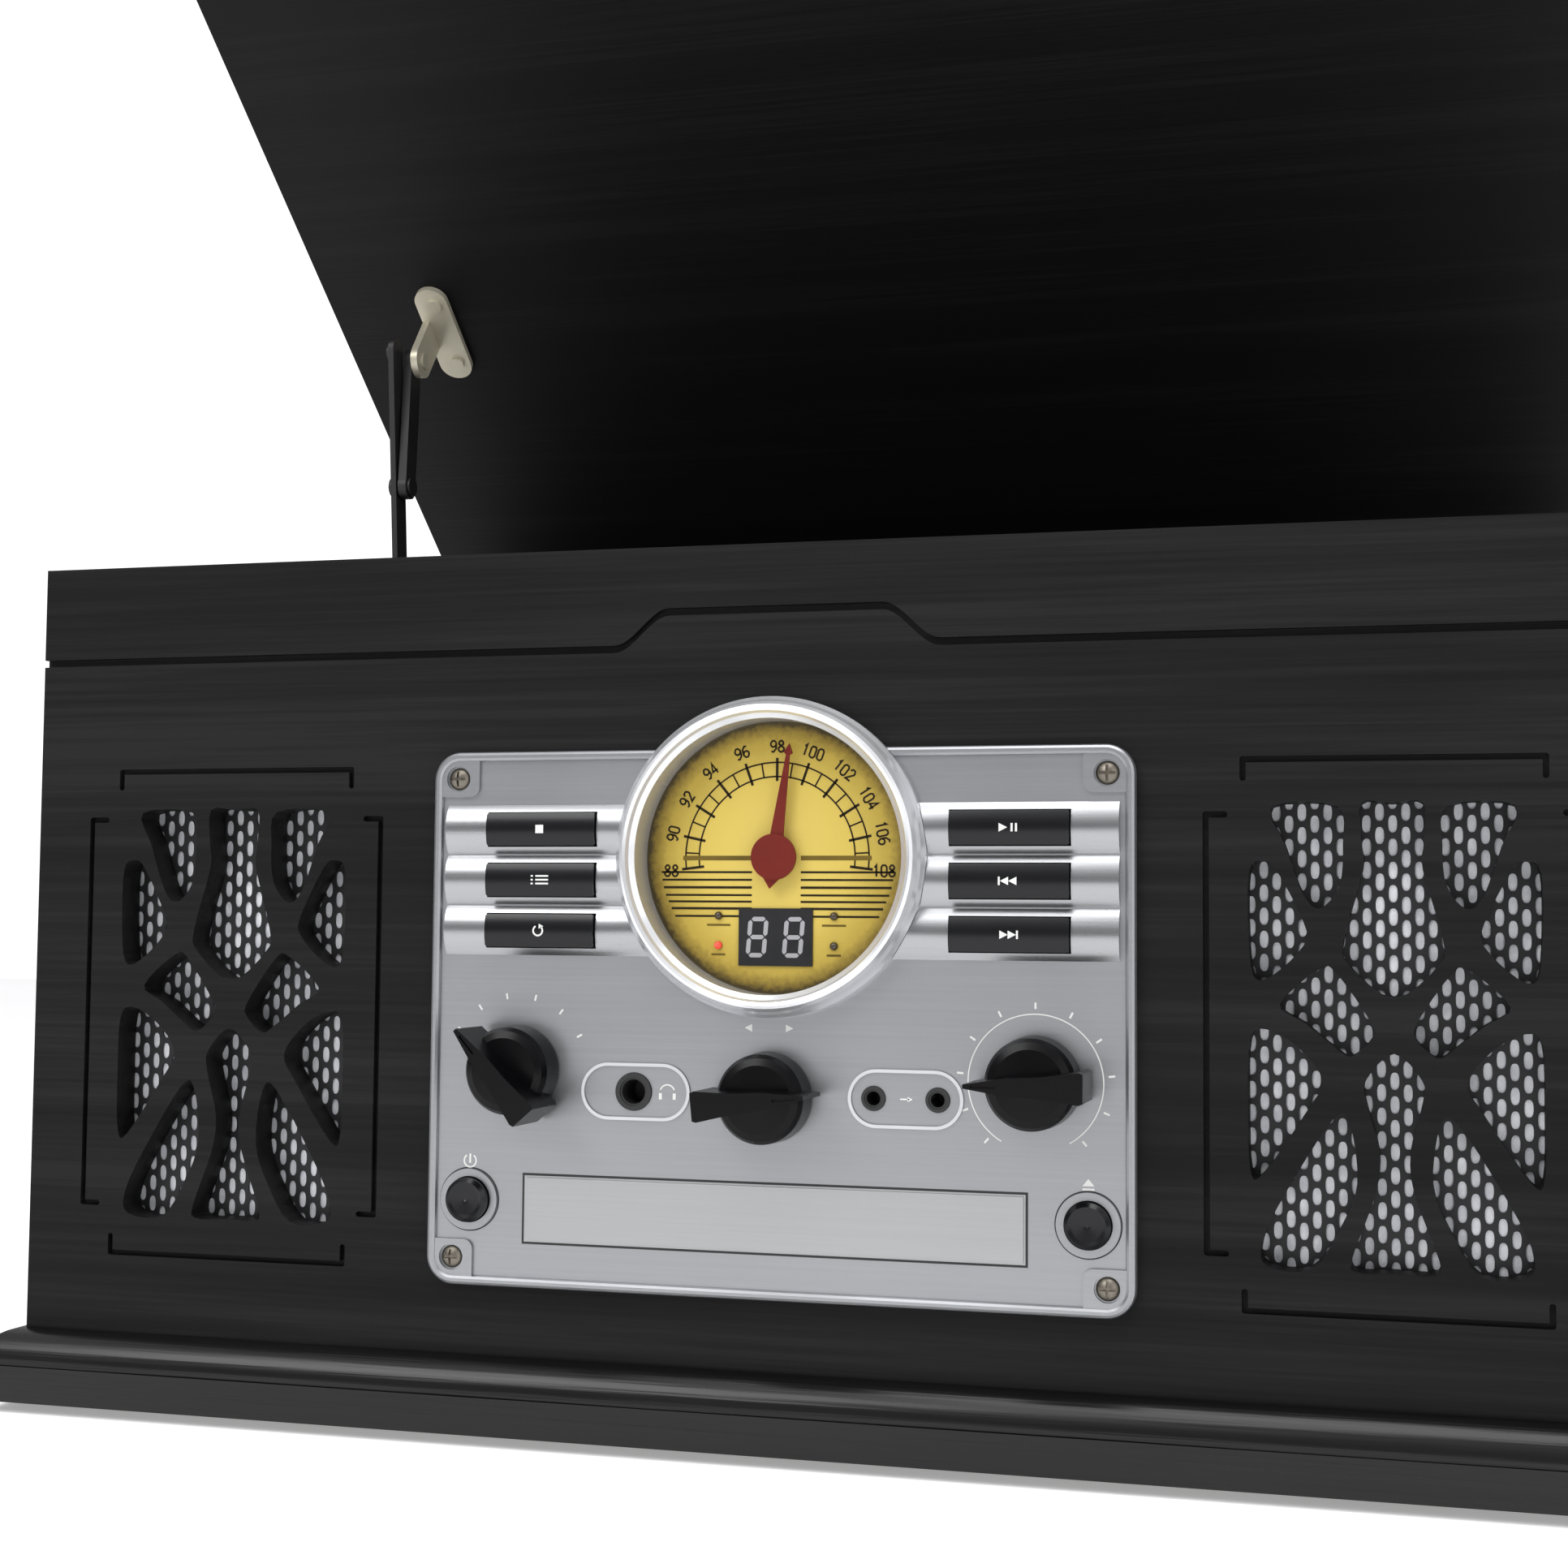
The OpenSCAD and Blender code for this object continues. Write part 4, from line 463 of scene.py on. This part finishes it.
# %%
def piece(name, verts, faces, material, body, smooth=False):
    """A mesh piece from points in millimetres; it rides on a body and takes a slot's finish."""
    mesh = bpy.data.meshes.new(name)
    mesh.from_pydata((np.asarray(verts, float) * MM).tolist(), [], [list(map(int, f)) for f in faces])
    mesh.validate()
    mesh.polygons.foreach_set("use_smooth", [smooth] * len(mesh.polygons))
    mesh.materials.append(material)
    obj = bpy.data.objects.new(name, mesh)
    bpy.context.scene.collection.objects.link(obj)
    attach(obj, body)
    return obj


# %% [markdown]
# ## Lines as ribbons
# A line has to keep one width round bends and corners. For each point the two neighbouring
# directions are averaged, and the point moves sideways along the normal to that average, by half
# the width over the cosine of half the bend.


# %%
def ribbon(path, width, closed=False):
    """A flat line of one width along 2-D points, mitred at the corners: (points, quads)."""
    p = np.asarray(path, float)
    step = np.roll(p, -1, 0) - p
    if not closed:
        step[-1] = step[-2]
    back = np.roll(step, 1, 0)
    if not closed:
        back[0] = step[0]
    unit = lambda v: v / np.maximum(np.linalg.norm(v, axis=1, keepdims=True), 1e-9)
    a, b = unit(back), unit(step)
    tangent = unit(a + b)
    normal = np.c_[-tangent[:, 1], tangent[:, 0]]
    reach = width / 2 / np.maximum((normal * np.c_[-b[:, 1], b[:, 0]]).sum(1, keepdims=True), 0.35)
    n = len(p)
    pts = np.vstack([p + normal * reach, p - normal * reach])
    last = n if closed else n - 1
    return pts, [(i, (i + 1) % n, n + (i + 1) % n, n + i) for i in range(last)]


def arc(cx, cz, r, a0, a1, n=48):
    """Points on an arc; angles in degrees, clockwise from upright."""
    t = np.radians(np.linspace(a0, a1, n))
    return np.c_[cx + r * np.sin(t), cz + r * np.cos(t)]


# %% [markdown]
# ## Ink
# A print gathers all the ribbons and shapes of one ink, and raises them as one slab.


# %%
class Print:
    """Ink gathered from ribbons and filled shapes, in X and Z, then raised on one plane."""

    def __init__(self):
        self.points, self.faces = [], []

    def add(self, pts, faces):
        start = sum(len(p) for p in self.points)
        self.points.append(np.asarray(pts, float))
        self.faces += [[start + i for i in f] for f in faces]

    def line(self, path, width, closed=False):
        self.add(*ribbon(path, width, closed))

    def fill(self, outline):
        self.add(outline, [list(range(len(outline)))])

    def raised(self, name, y, depth, material, body, slot):
        """A thin closed slab of ink: the face at y, its copy at y + depth, and its sides."""
        p = np.vstack(self.points)
        n = len(p)
        sides = [np.c_[p[:, 0], np.full(n, level), p[:, 1]] for level in (y, y + depth)]
        verts = np.vstack(sides)
        faces = []
        for f in self.faces:
            q = p[f]
            area = np.sum(q[:, 0] * np.roll(q[:, 1], -1) - np.roll(q[:, 0], -1) * q[:, 1])
            f = f if area > 0 else f[::-1]
            faces.append(f)
            faces.append([i + n for i in f[::-1]])
            faces += [(b, a, a + n, b + n) for a, b in zip(f, f[1:] + f[:1])]
        return piece(name, verts, faces, material, body)


# %% [markdown]
# ## Speaker screens
# Behind each fretwork is a thin black sheet punched with staggered slots, and a pale gauze that
# shows through them. The CAD sheets have plain rectangular slots. Cutting hundreds of round-ended
# ones with a Boolean is slow and leaves ragged faces, so the sheet is laid in cells, each one
# ring of quads between the cell's rim and its slot, and this piece stands for the CAD sheets.


# %%
def screen(cx, cz, slot_w, slot_h, pitch_x, pitch_z, cols, rows, y0, y1):
    """Cells of a staggered grid, each a rectangle with an oval hole.

    Oval: x = a |cos t|^0.8 sign(cos t), z = b |sin t|^0.8 sign(sin t); the cell's rim is met
    along the same direction, so every cell is one ring of quads.
    """
    t = np.linspace(0, 2 * math.pi, 17)[:-1] + math.pi / 16
    c, s = np.cos(t), np.sin(t)
    oval = np.c_[np.sign(c) * np.abs(c) ** 0.8 * slot_w / 2, np.sign(s) * np.abs(s) ** 0.8 * slot_h / 2]
    k = np.minimum(pitch_x / 2 / np.abs(c), pitch_z / 2 / np.abs(s))
    rim = np.c_[c * k, s * k]
    for corner in ((-1, -1), (1, -1), (1, 1), (-1, 1)):
        at = np.array(corner) * (pitch_x / 2, pitch_z / 2)
        rim[np.argmin(np.abs(rim - at).sum(1))] = at
    verts, faces = [], []
    for i in range(-cols, cols + 1):
        lift = 0 if i % 2 == 0 else pitch_z / 2
        for j in range(-rows if i % 2 == 0 else 1 - rows, rows + 1):
            mid = (cx + i * pitch_x, cz + j * pitch_z - lift)
            base = len(verts) * 16
            for p, y in ((rim, y0), (oval, y0), (oval, y1)):
                verts.append(np.c_[mid[0] + p[:, 0], np.full(16, y), mid[1] + p[:, 1]])
            for m in range(16):
                q = (m + 1) % 16
                faces.append((base + m, base + q, base + 16 + q, base + 16 + m))
                faces.append((base + 16 + m, base + 16 + q, base + 32 + q, base + 32 + m))
    return [tuple(v) for v in np.vstack(verts)], faces


def slab(x0, x1, z0, z1, y0, y1, hole=None):
    """A flat plate, or a frame round a rectangular hole (x0, x1, z0, z1)."""
    if hole is None:
        v = [(x, y, z) for y in (y0, y1) for z in (z0, z1) for x in (x0, x1)]
        return v, [(0, 1, 3, 2), (4, 6, 7, 5), (0, 4, 5, 1), (2, 3, 7, 6), (0, 2, 6, 4), (1, 5, 7, 3)]
    a = [(x0, z0), (x1, z0), (x1, z1), (x0, z1)]
    b = [(hole[0], hole[2]), (hole[1], hole[2]), (hole[1], hole[3]), (hole[0], hole[3])]
    v = [(p[0], y, p[1]) for y in (y0, y1) for p in a + b]
    f = []
    for i in range(4):
        j = (i + 1) % 4
        f += [(i, j, 4 + j, 4 + i), (8 + i, 12 + i, 12 + j, 8 + j)]
        f += [(i, 8 + i, 8 + j, j), (4 + i, 4 + j, 12 + j, 12 + i)]
    return v, f


def sheet_and_gauze(cx, cz, y0, y1):
    """One speaker's perforated sheet with its plain margin, and the gauze behind it."""
    cols, rows, px, pz = 11, 10, 3.1, 5.7
    w, h, deep = 38.5, 60.5, y0 + 0.5
    in_w, in_h = (cols + 0.5) * px, (rows + 0.5) * pz
    v, f = screen(cx, cz, 2.15, 4.3, px, pz, cols, rows, y0, deep)
    plain = [slab(cx - w, cx + w, cz - h, cz + h, y0, deep, (cx - in_w, cx + in_w, cz - in_h, cz + in_h))]
    for i in range(-cols, cols + 1, 2):
        for s in (-1, 1):
            a, b = sorted((cz + s * in_h, cz + s * (in_h - pz / 2)))
            plain.append(slab(cx + (i - 0.5) * px, cx + (i + 0.5) * px, a, b, y0, deep))
    for v2, f2 in plain:
        f += [tuple(i + len(v) for i in q) for q in f2]
        v += v2
    return (v, f), slab(cx - w, cx + w, cz - h, cz + h, deep + 0.03, y1)


verts, faces, kinds = [], [], []
low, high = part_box("speaker_sheets")
y0, y1 = low.y / MM, high.y / MM
for cx in (-155.25, 155.25):
    for kind, (v, f) in enumerate(sheet_and_gauze(cx, 111.0, y0, y1)):
        start = len(verts)
        verts += list(map(tuple, v))
        faces += [tuple(i + start for i in q) for q in f]
        kinds += [kind] * len(f)
screens = piece("speaker_screens", verts, faces, SCREEN, "cabinet")
screens.data.materials.append(speaker_cloth())
screens.data.polygons.foreach_set("material_index", kinds)
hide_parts("speaker_sheets")
print("screen faces", len(screens.data.polygons), "between y", y0, y1)

# %% [markdown]
# ## Digits and signs
# A radio's dial carries its frequencies in thin even strokes. A font object would give them, but
# a font isn't the same on every machine, so each digit is a few strokes on a grid two wide and
# four high, drawn with the same ribbons as the scale.

# %%
DIGITS = {
    "0": [[(0.5, 0), (0, 0.7), (0, 3.3), (0.5, 4), (1.5, 4), (2, 3.3), (2, 0.7), (1.5, 0), (0.5, 0)]],
    "1": [[(0.4, 3.2), (1.1, 4), (1.1, 0)]],
    "2": [[(0, 3.2), (0.6, 4), (1.5, 4), (2, 3.2), (2, 2.6), (0, 0), (2, 0)]],
    "3": [[(0, 4), (2, 4), (0.9, 2.4), (1.6, 2.3), (2, 1.6), (2, 0.8), (1.4, 0), (0.5, 0), (0, 0.6)]],
    "4": [[(1.5, 0), (1.5, 4), (0, 1.2), (2.1, 1.2)]],
    "5": [[(1.9, 4), (0.2, 4), (0.1, 2.2), (1.2, 2.5), (2, 1.9), (2, 0.8), (1.3, 0), (0.4, 0), (0, 0.5)]],
    "6": [[(1.8, 3.8), (1, 4), (0, 2.8), (0, 0.8), (0.6, 0), (1.4, 0), (2, 0.8), (2, 1.6), (1.4, 2.2),
           (0.5, 2.1), (0, 1.4)]],
    "7": [[(0, 4), (2, 4), (0.7, 0)]],
    "8": [[(1, 2.2), (0.2, 2.8), (0.2, 3.4), (0.7, 4), (1.3, 4), (1.8, 3.4), (1.8, 2.8), (1, 2.2),
           (0, 1.4), (0, 0.7), (0.6, 0), (1.4, 0), (2, 0.7), (2, 1.4), (1, 2.2)]],
    "9": [[(0.2, 0.2), (1, 0), (2, 1.2), (2, 3.2), (1.4, 4), (0.6, 4), (0, 3.2), (0, 2.4), (0.6, 1.8),
           (1.5, 1.9), (2, 2.6)]],
}


def number(ink, text, cx, cz, height, turn, width):
    """A number centred on a point, leaning by turn degrees clockwise."""
    k = height / 4
    span = len(text) * 2.9 - 0.9
    a = math.radians(turn)
    for i, sign in enumerate(text):
        for path in DIGITS[sign]:
            q = np.array([((x + i * 2.9 - span / 2) * k, (z - 2) * k) for x, z in path])
            leaning = q @ [[math.cos(a), -math.sin(a)], [math.sin(a), math.cos(a)]]
            ink.line(leaning + [cx, cz], width)


# %% [markdown]
# ## The dial's scale
# The scale is two arcs with ticks between, plain even numbers along them, and a ladder of straight
# rules across the lower half. Paler ink marks the top rule and the short lines by the lamps.

# %%
ink, pale = Print(), Print()
SPAN = 97.0       # degrees from upright to either end of the scale
NUMBER_R = 29.0   # radius of the circle that the numbers stand on
for r in (24.8, 21.1):
    ink.line(arc(0, DIAL_Z, r, -SPAN, SPAN, 96), 0.42)
marks = [88 + 2 * i for i in range(11)]
for i in range(len(marks) * 2 - 1):
    a = -SPAN + i * SPAN / (len(marks) - 1)
    inner, outer = (19.9, 26.0) if i % 2 == 0 else (21.1, 24.8)
    t = math.radians(a)
    way = np.array([math.sin(t), math.cos(t)])
    ink.line([way * inner + [0, DIAL_Z], way * outer + [0, DIAL_Z]], 0.7 if i % 2 == 0 else 0.42)
for i, value in enumerate(marks):
    a = -SPAN + 2 * i * SPAN / (len(marks) - 1)
    t = math.radians(a)
    lean = a if abs(a) < 80 else 0
    number(ink, str(value), NUMBER_R * math.sin(t), DIAL_Z + NUMBER_R * math.cos(t), 2.9, lean, 0.5)
RULES = (
    (0.2, 1.2, 25.5), (3.9, 0.55, 31.5), (5.9, 0.55, 31.2), (7.9, 0.65, 30.8),
    (9.9, 0.55, 30.2), (11.6, 0.55, 29.4), (13.4, 0.65, 28.6), (15.4, 0.55, 27.6),
)
for drop, thick, reach in RULES:
    z = DIAL_Z - drop
    for s in (-1, 1):
        path = [(s * 6.6, z), (s * reach, z)]
        (pale if drop < 1 else ink).line(path if s > 0 else path[::-1], thick)
for s in (-1, 1):
    for up, reach in ((95.6, 6.4), (87.9, 3.8)):
        pale.line([(s * 15.6 - reach / 2, PANEL_Z + up), (s * 15.6 + reach / 2, PANEL_Z + up)], 0.55)
ink.raised("dial_print", FACE_Y - 0.06, 0.05, INK, "cabinet", "dial")
pale.raised("dial_print_pale", FACE_Y - 0.07, 0.06, PALE_INK, "cabinet", "dial")
print("dial marks", marks)


# %%
def segment_digit(ink, cx, cz, w, h, t):
    """Seven bevelled bars of one display digit, leaning a little to the right."""
    lean = lambda x, z: (cx + x + 0.08 * z, cz + z)
    for dz in (-1, 0, 1):
        z, a, b = dz * h / 2, -w / 2 + 0.25, w / 2 - 0.25
        ink.fill([lean(a, z), lean(a + t / 2, z - t / 2), lean(b - t / 2, z - t / 2), lean(b, z),
                  lean(b - t / 2, z + t / 2), lean(a + t / 2, z + t / 2)])
    for sx in (-1, 1):
        for sz in (-1, 1):
            x, a, b = sx * w / 2, 0.25, h / 2 - 0.25
            ink.fill([lean(x, sz * a), lean(x + t / 2, sz * (a + t / 2)), lean(x + t / 2, sz * (b - t / 2)),
                      lean(x, sz * b), lean(x - t / 2, sz * (b - t / 2)), lean(x - t / 2, sz * (a + t / 2))])


digits = Print()
for s in (-1, 1):
    segment_digit(digits, s * 4.9, PANEL_Z + 92.5, 4.3, 9.4, 1.15)
digits.raised("display_digits", FRONT + 3.35, 0.045, DIGIT, "cabinet", "display")
# A lamp is a dome: radius cos t and height sin t times the lamp's, for t from rim to top.
LAMP_R, LAMP_TURNS, LAMP_RINGS = 1.08, 24, 6
t = np.linspace(0, math.pi / 2, LAMP_RINGS + 1)[:-1, None]
around = np.linspace(0, 2 * math.pi, LAMP_TURNS + 1)[None, :-1]
dome = np.stack([np.cos(t) * np.cos(around), -np.sin(t) + 0 * around, np.cos(t) * np.sin(around)], -1)
dome = np.vstack([dome.reshape(-1, 3), [(0, -1, 0)]]) * LAMP_R
k = np.arange(LAMP_TURNS)
following = (k + 1) % LAMP_TURNS
walls = [np.c_[j + k, j + following, j + LAMP_TURNS + following, j + LAMP_TURNS + k]
         for j in LAMP_TURNS * np.arange(LAMP_RINGS - 1)]
last = LAMP_TURNS * (LAMP_RINGS - 1)
caps = np.c_[last + k, last + following, np.full(LAMP_TURNS, LAMP_TURNS * LAMP_RINGS)]
dome_faces = np.vstack(walls).tolist() + caps.tolist()
for i, (x, up) in enumerate(((-15.6, 98), (-15.6, 90.3), (15.6, 98), (15.6, 90.3))):
    lit = x < 0 and up < 95
    tint, glow = ((0.75, 0.06, 0.03), 0.5) if lit else ((0.05, 0.03, 0.01), 0.0)
    place = dome + [x, FACE_Y - 0.3, PANEL_Z + up]
    piece(f"lamp_{i}", place, dome_faces, lamp(f"lamp_{i}", tint, glow), "cabinet", smooth=True)


# %% [markdown]
# ## Signs on the keys and marks on the panel
# The keys carry the plain transport signs that any player has, and the knobs have ticks round
# them. Each sign rides on its key's body, so it goes in with the key when that is pressed.


# %%
def triangle(ink, cx, cz, s, way):
    ink.fill([(cx - way * s / 2, cz - s / 2), (cx + way * s / 2, cz), (cx - way * s / 2, cz + s / 2)])


def bar(ink, cx, cz, w, h):
    corners = ((-1, -1), (1, -1), (1, 1), (-1, 1))
    ink.fill([(cx + i * w / 2, cz + k * h / 2) for i, k in corners])


def stop_sign(p, x, z):
    bar(p, x, z, 2.2, 2.2)


def list_sign(p, x, z):
    for step in (-1, 0, 1):
        bar(p, x + 0.9, z + step, 3.6, 0.45)
        bar(p, x - 1.9, z + step, 0.6, 0.45)


def repeat_sign(p, x, z):
    p.line(arc(x, z, 1.3, 40, 330, 20), 0.45)
    triangle(p, x + 0.9, z + 1.15, 1.3, 1)


def play_sign(p, x, z):
    triangle(p, x - 1.3, z, 2.2, 1)
    bar(p, x + 0.9, z, 0.55, 2.1)
    bar(p, x + 2.0, z, 0.55, 2.1)


def back_sign(p, x, z):
    bar(p, x - 2.3, z, 0.5, 2.1)
    triangle(p, x - 1.0, z, 2.1, -1)
    triangle(p, x + 1.1, z, 2.1, -1)


def skip_sign(p, x, z):
    triangle(p, x - 1.1, z, 2.1, 1)
    triangle(p, x + 1.0, z, 2.1, 1)
    bar(p, x + 2.3, z, 0.5, 2.1)


key_signs = {
    "key_left_top": stop_sign, "key_left_middle": list_sign, "key_left_bottom": repeat_sign,
    "key_right_top": play_sign, "key_right_middle": back_sign, "key_right_bottom": skip_sign,
}
for name, draw in key_signs.items():
    low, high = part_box(name)
    sign = Print()
    draw(sign, (low.x + high.x) / 2 / MM, (low.z + high.z) / 2 / MM)
    sign.raised(f"sign_{name[4:]}", low.y / MM - 0.03, 0.3, WHITE, name + "_body", "black_gloss")

# %% [markdown]
# ## Marks on the panel
# Round the two outer knobs are ticks, and small signs tell the headphone socket, the input, power
# and the drawer. Thin dark lines are painted shadow along the gap round the drawer and round the two
# round buttons, and bright lines are painted highlights on the polished edge of the frame round each socket.

# %%
panel = Print()
for x, z, r, a0, a1, n in ((-69.0, 57.0, 19.0, -58, 62, 6), (69.0, 57.0, 18.6, -140, 140, 11)):
    for i in range(n):
        a = math.radians(a0 + (a1 - a0) * i / (n - 1))
        way = np.array([math.sin(a), math.cos(a)])
        here = np.array([x, PANEL_Z + z])
        panel.line([here + way * (r - 0.3), here + way * (r + 1.3)], 0.5)
panel.line(arc(69, PANEL_Z + 57, 17.0, -150, 150, 90), 0.28)
for s in (-1, 1):
    triangle(panel, s * 5.5, PANEL_Z + 69.2, 2.0, s)
headband_x = -27.3
panel.line(arc(headband_x, PANEL_Z + 52, 2.0, -70, 70, 14), 0.35)
for s in (-1, 1):
    bar(panel, headband_x + 1.9 * s, PANEL_Z + 51.0, 0.8, 1.6)
panel.line([(34.6, PANEL_Z + 52), (37.0, PANEL_Z + 52)], 0.35)
triangle(panel, 37.2, PANEL_Z + 52, 1.3, 1)
bar(panel, -82.2, PANEL_Z + 33.2, 0.5, 2.4)
panel.line(arc(-82.2, PANEL_Z + 32.6, 1.7, 35, 325, 24), 0.4)
panel.fill([(80.7, PANEL_Z + 32.0), (83.7, PANEL_Z + 32.0), (82.2, PANEL_Z + 33.8)])
bar(panel, 82.2, PANEL_Z + 31.2, 3.0, 0.55)
SOCKET_X, FRAME_HALF, FRAME_R = 36.0, 7.5, 7.0
# The bright rings below are painted highlights on the raised socket frame edges, which catch too little
# light on their own.
frame_highlights = Print()
for s in (-1, 1):
    x, z = s * SOCKET_X, PANEL_Z + 52
    ends = [arc(x + FRAME_HALF, z, FRAME_R, 0, 180, 25), arc(x - FRAME_HALF, z, FRAME_R, 180, 360, 25)]
    frame_highlights.line(np.vstack(ends), 0.8, closed=True)
frame_highlights.raised("socket_frame_edges", FLOOR_Y - 0.53, 0.05, FRAME_HIGHLIGHT, "cabinet", "silver_panel")
# Dark ribbons round the drawer and the two round buttons are painted shadow for the narrow gap there; the
# matt black is only their colour.
gap_shadows = Print()
low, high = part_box("cd_door")
x0, x1, z0, z1 = low.x / MM - 0.35, high.x / MM + 0.35, low.z / MM - 0.35, high.z / MM + 0.35
gap_shadows.line([(x0, z0), (x1, z0), (x1, z1), (x0, z1)], 0.55, closed=True)
for s in (-1, 1):
    gap_shadows.line(arc(s * 82.2, PANEL_Z + 22.5, 8.25, 0, 360 - 6, 60), 0.35, closed=True)
gap_shadows.raised("panel_shadow_gaps", FLOOR_Y - 0.02, 0.04, MATT, "cabinet", "black_matte")
panel.raised("panel_print", FLOOR_Y - 0.03, 0.06, WHITE, "cabinet", "silver_panel")
print("signs", len(key_signs))

# %% [markdown]
# ## Floor, light and camera
# The photograph is a studio picture on white: a soft key light from the upper left, light from
# above, and a weak fill. Black wood shows mostly what it mirrors, so the world is a grey ramp by
# height for reflections and plain white for the camera. The camera stands where the photograph
# was taken from, about 0.6 m in front of the cabinet and a little to its right.

# %%
v = [(x, y, 0) for y in (-3000, 4000) for x in (-3500, 3500)]
floor_mesh = bpy.data.meshes.new("floor")
floor_mesh.from_pydata([(x * MM, y * MM, z * MM) for x, y, z in v], [], [(0, 1, 3, 2)])
floor_obj = bpy.data.objects.new("floor", floor_mesh)
bpy.context.scene.collection.objects.link(floor_obj)
paper = Graph("floor_paper", Specular_IOR_Level=0.2, Emission_Color=(1, 1, 1, 1), Emission_Strength=0.32)
soft = paper.noise(paper.stretched((2, 2, 2)), 2, 0.5)
white = paper.ramp(soft, (0.3, (0.86, 0.86, 0.86)), (0.7, (0.90, 0.90, 0.90)))
paper.set(Base_Color=white, Roughness=soft.spread(0.8, 0.9))
floor_mesh.materials.append(paper.mat)

# %% [markdown]
# ## Surroundings to mirror
# Satin black and brushed metal show mostly what is round them. The world is a grey ramp by height
# for reflections, and clean white where the camera looks at it directly.

# %%
world = bpy.data.worlds.new("studio")
bpy.context.scene.world = world
world.use_nodes = True
sky = Nodes(world.node_tree)
height = sky.node("SeparateXYZ", {0: sky.node("TexCoord", {}, "Generated")}, "Z")
level = sky.node("MapRange", {"Value": height, "From Min": -1.0}, "Result")
greys = ((0.0, 0.45), (0.46, 0.22), (0.56, 0.26), (0.78, 0.7), (1.0, 0.9))
shade = sky.node("ValToRGB", {0: level}, "Color", [(place, (v, v, v * 1.02)) for place, v in greys])
seen = sky.node("LightPath", {}, "Is Camera Ray")
sky.feed(sky.tree.nodes["Background"].inputs["Color"], sky.mix(seen, shade, (1.2, 1.2, 1.2)))
bpy.context.scene.view_settings.view_transform = "Standard"


# %% [markdown]
# ## Lights
# Three large soft lights: a key from the upper left, one from above and a weak fill at the right.


# %%
def area_light(name, at, look, size, watts, tint=(1, 1, 1)):
    """A soft square light aimed at a point."""
    data = bpy.data.lights.new(name, "AREA")
    data.shape, data.size, data.energy, data.color = "SQUARE", size, watts, tint
    obj = bpy.data.objects.new(name, data)
    bpy.context.scene.collection.objects.link(obj)
    obj.location = at
    obj.rotation_euler = (Vector(look) - Vector(at)).to_track_quat("-Z", "Y").to_euler()
    return obj


area_light("key", (-0.9, -1.5, 1.5), (0, -0.1, 0.12), 1.0, 17)
area_light("top", (0.2, -0.6, 1.8), (0, -0.16, 0.15), 1.2, 16)
area_light("fill", (1.6, -1.2, 0.7), (0, -0.1, 0.12), 1.2, 6)

# %% [markdown]
# ## Camera
# The camera was found by fitting edges of the front, the panel, the dial, the plinth and the lid to
# the photograph: 2822 pixels of focal length on a frame 1932 pixels wide, given here on 36 mm.

# %%
yaw, pitch, roll = (math.radians(a) for a in (15.57, 3.57, 0.47))
ahead = Vector((-math.sin(yaw), math.cos(yaw), 0))
right = Vector((math.cos(yaw), math.sin(yaw), 0))
up = Vector((0, 0, 1))
ahead, up = math.cos(pitch) * ahead + math.sin(pitch) * up, math.cos(pitch) * up - math.sin(pitch) * ahead
right, up = math.cos(roll) * right + math.sin(roll) * up, math.cos(roll) * up - math.sin(roll) * right
lens = bpy.data.cameras.new("camera")
lens.sensor_width, lens.lens = 36.0, 2822.0 / 1932.0 * 36.0
lens.clip_start, lens.clip_end = 0.01, 20
camera = bpy.data.objects.new("camera", lens)
bpy.context.scene.collection.objects.link(camera)
turn = Matrix((right, up, -ahead)).transposed().to_4x4()
turn.translation = Vector((0.1620, -0.7357, 0.1359))
camera.matrix_world = turn
bpy.context.scene.camera = camera
print("camera at", tuple(round(c, 4) for c in turn.translation))
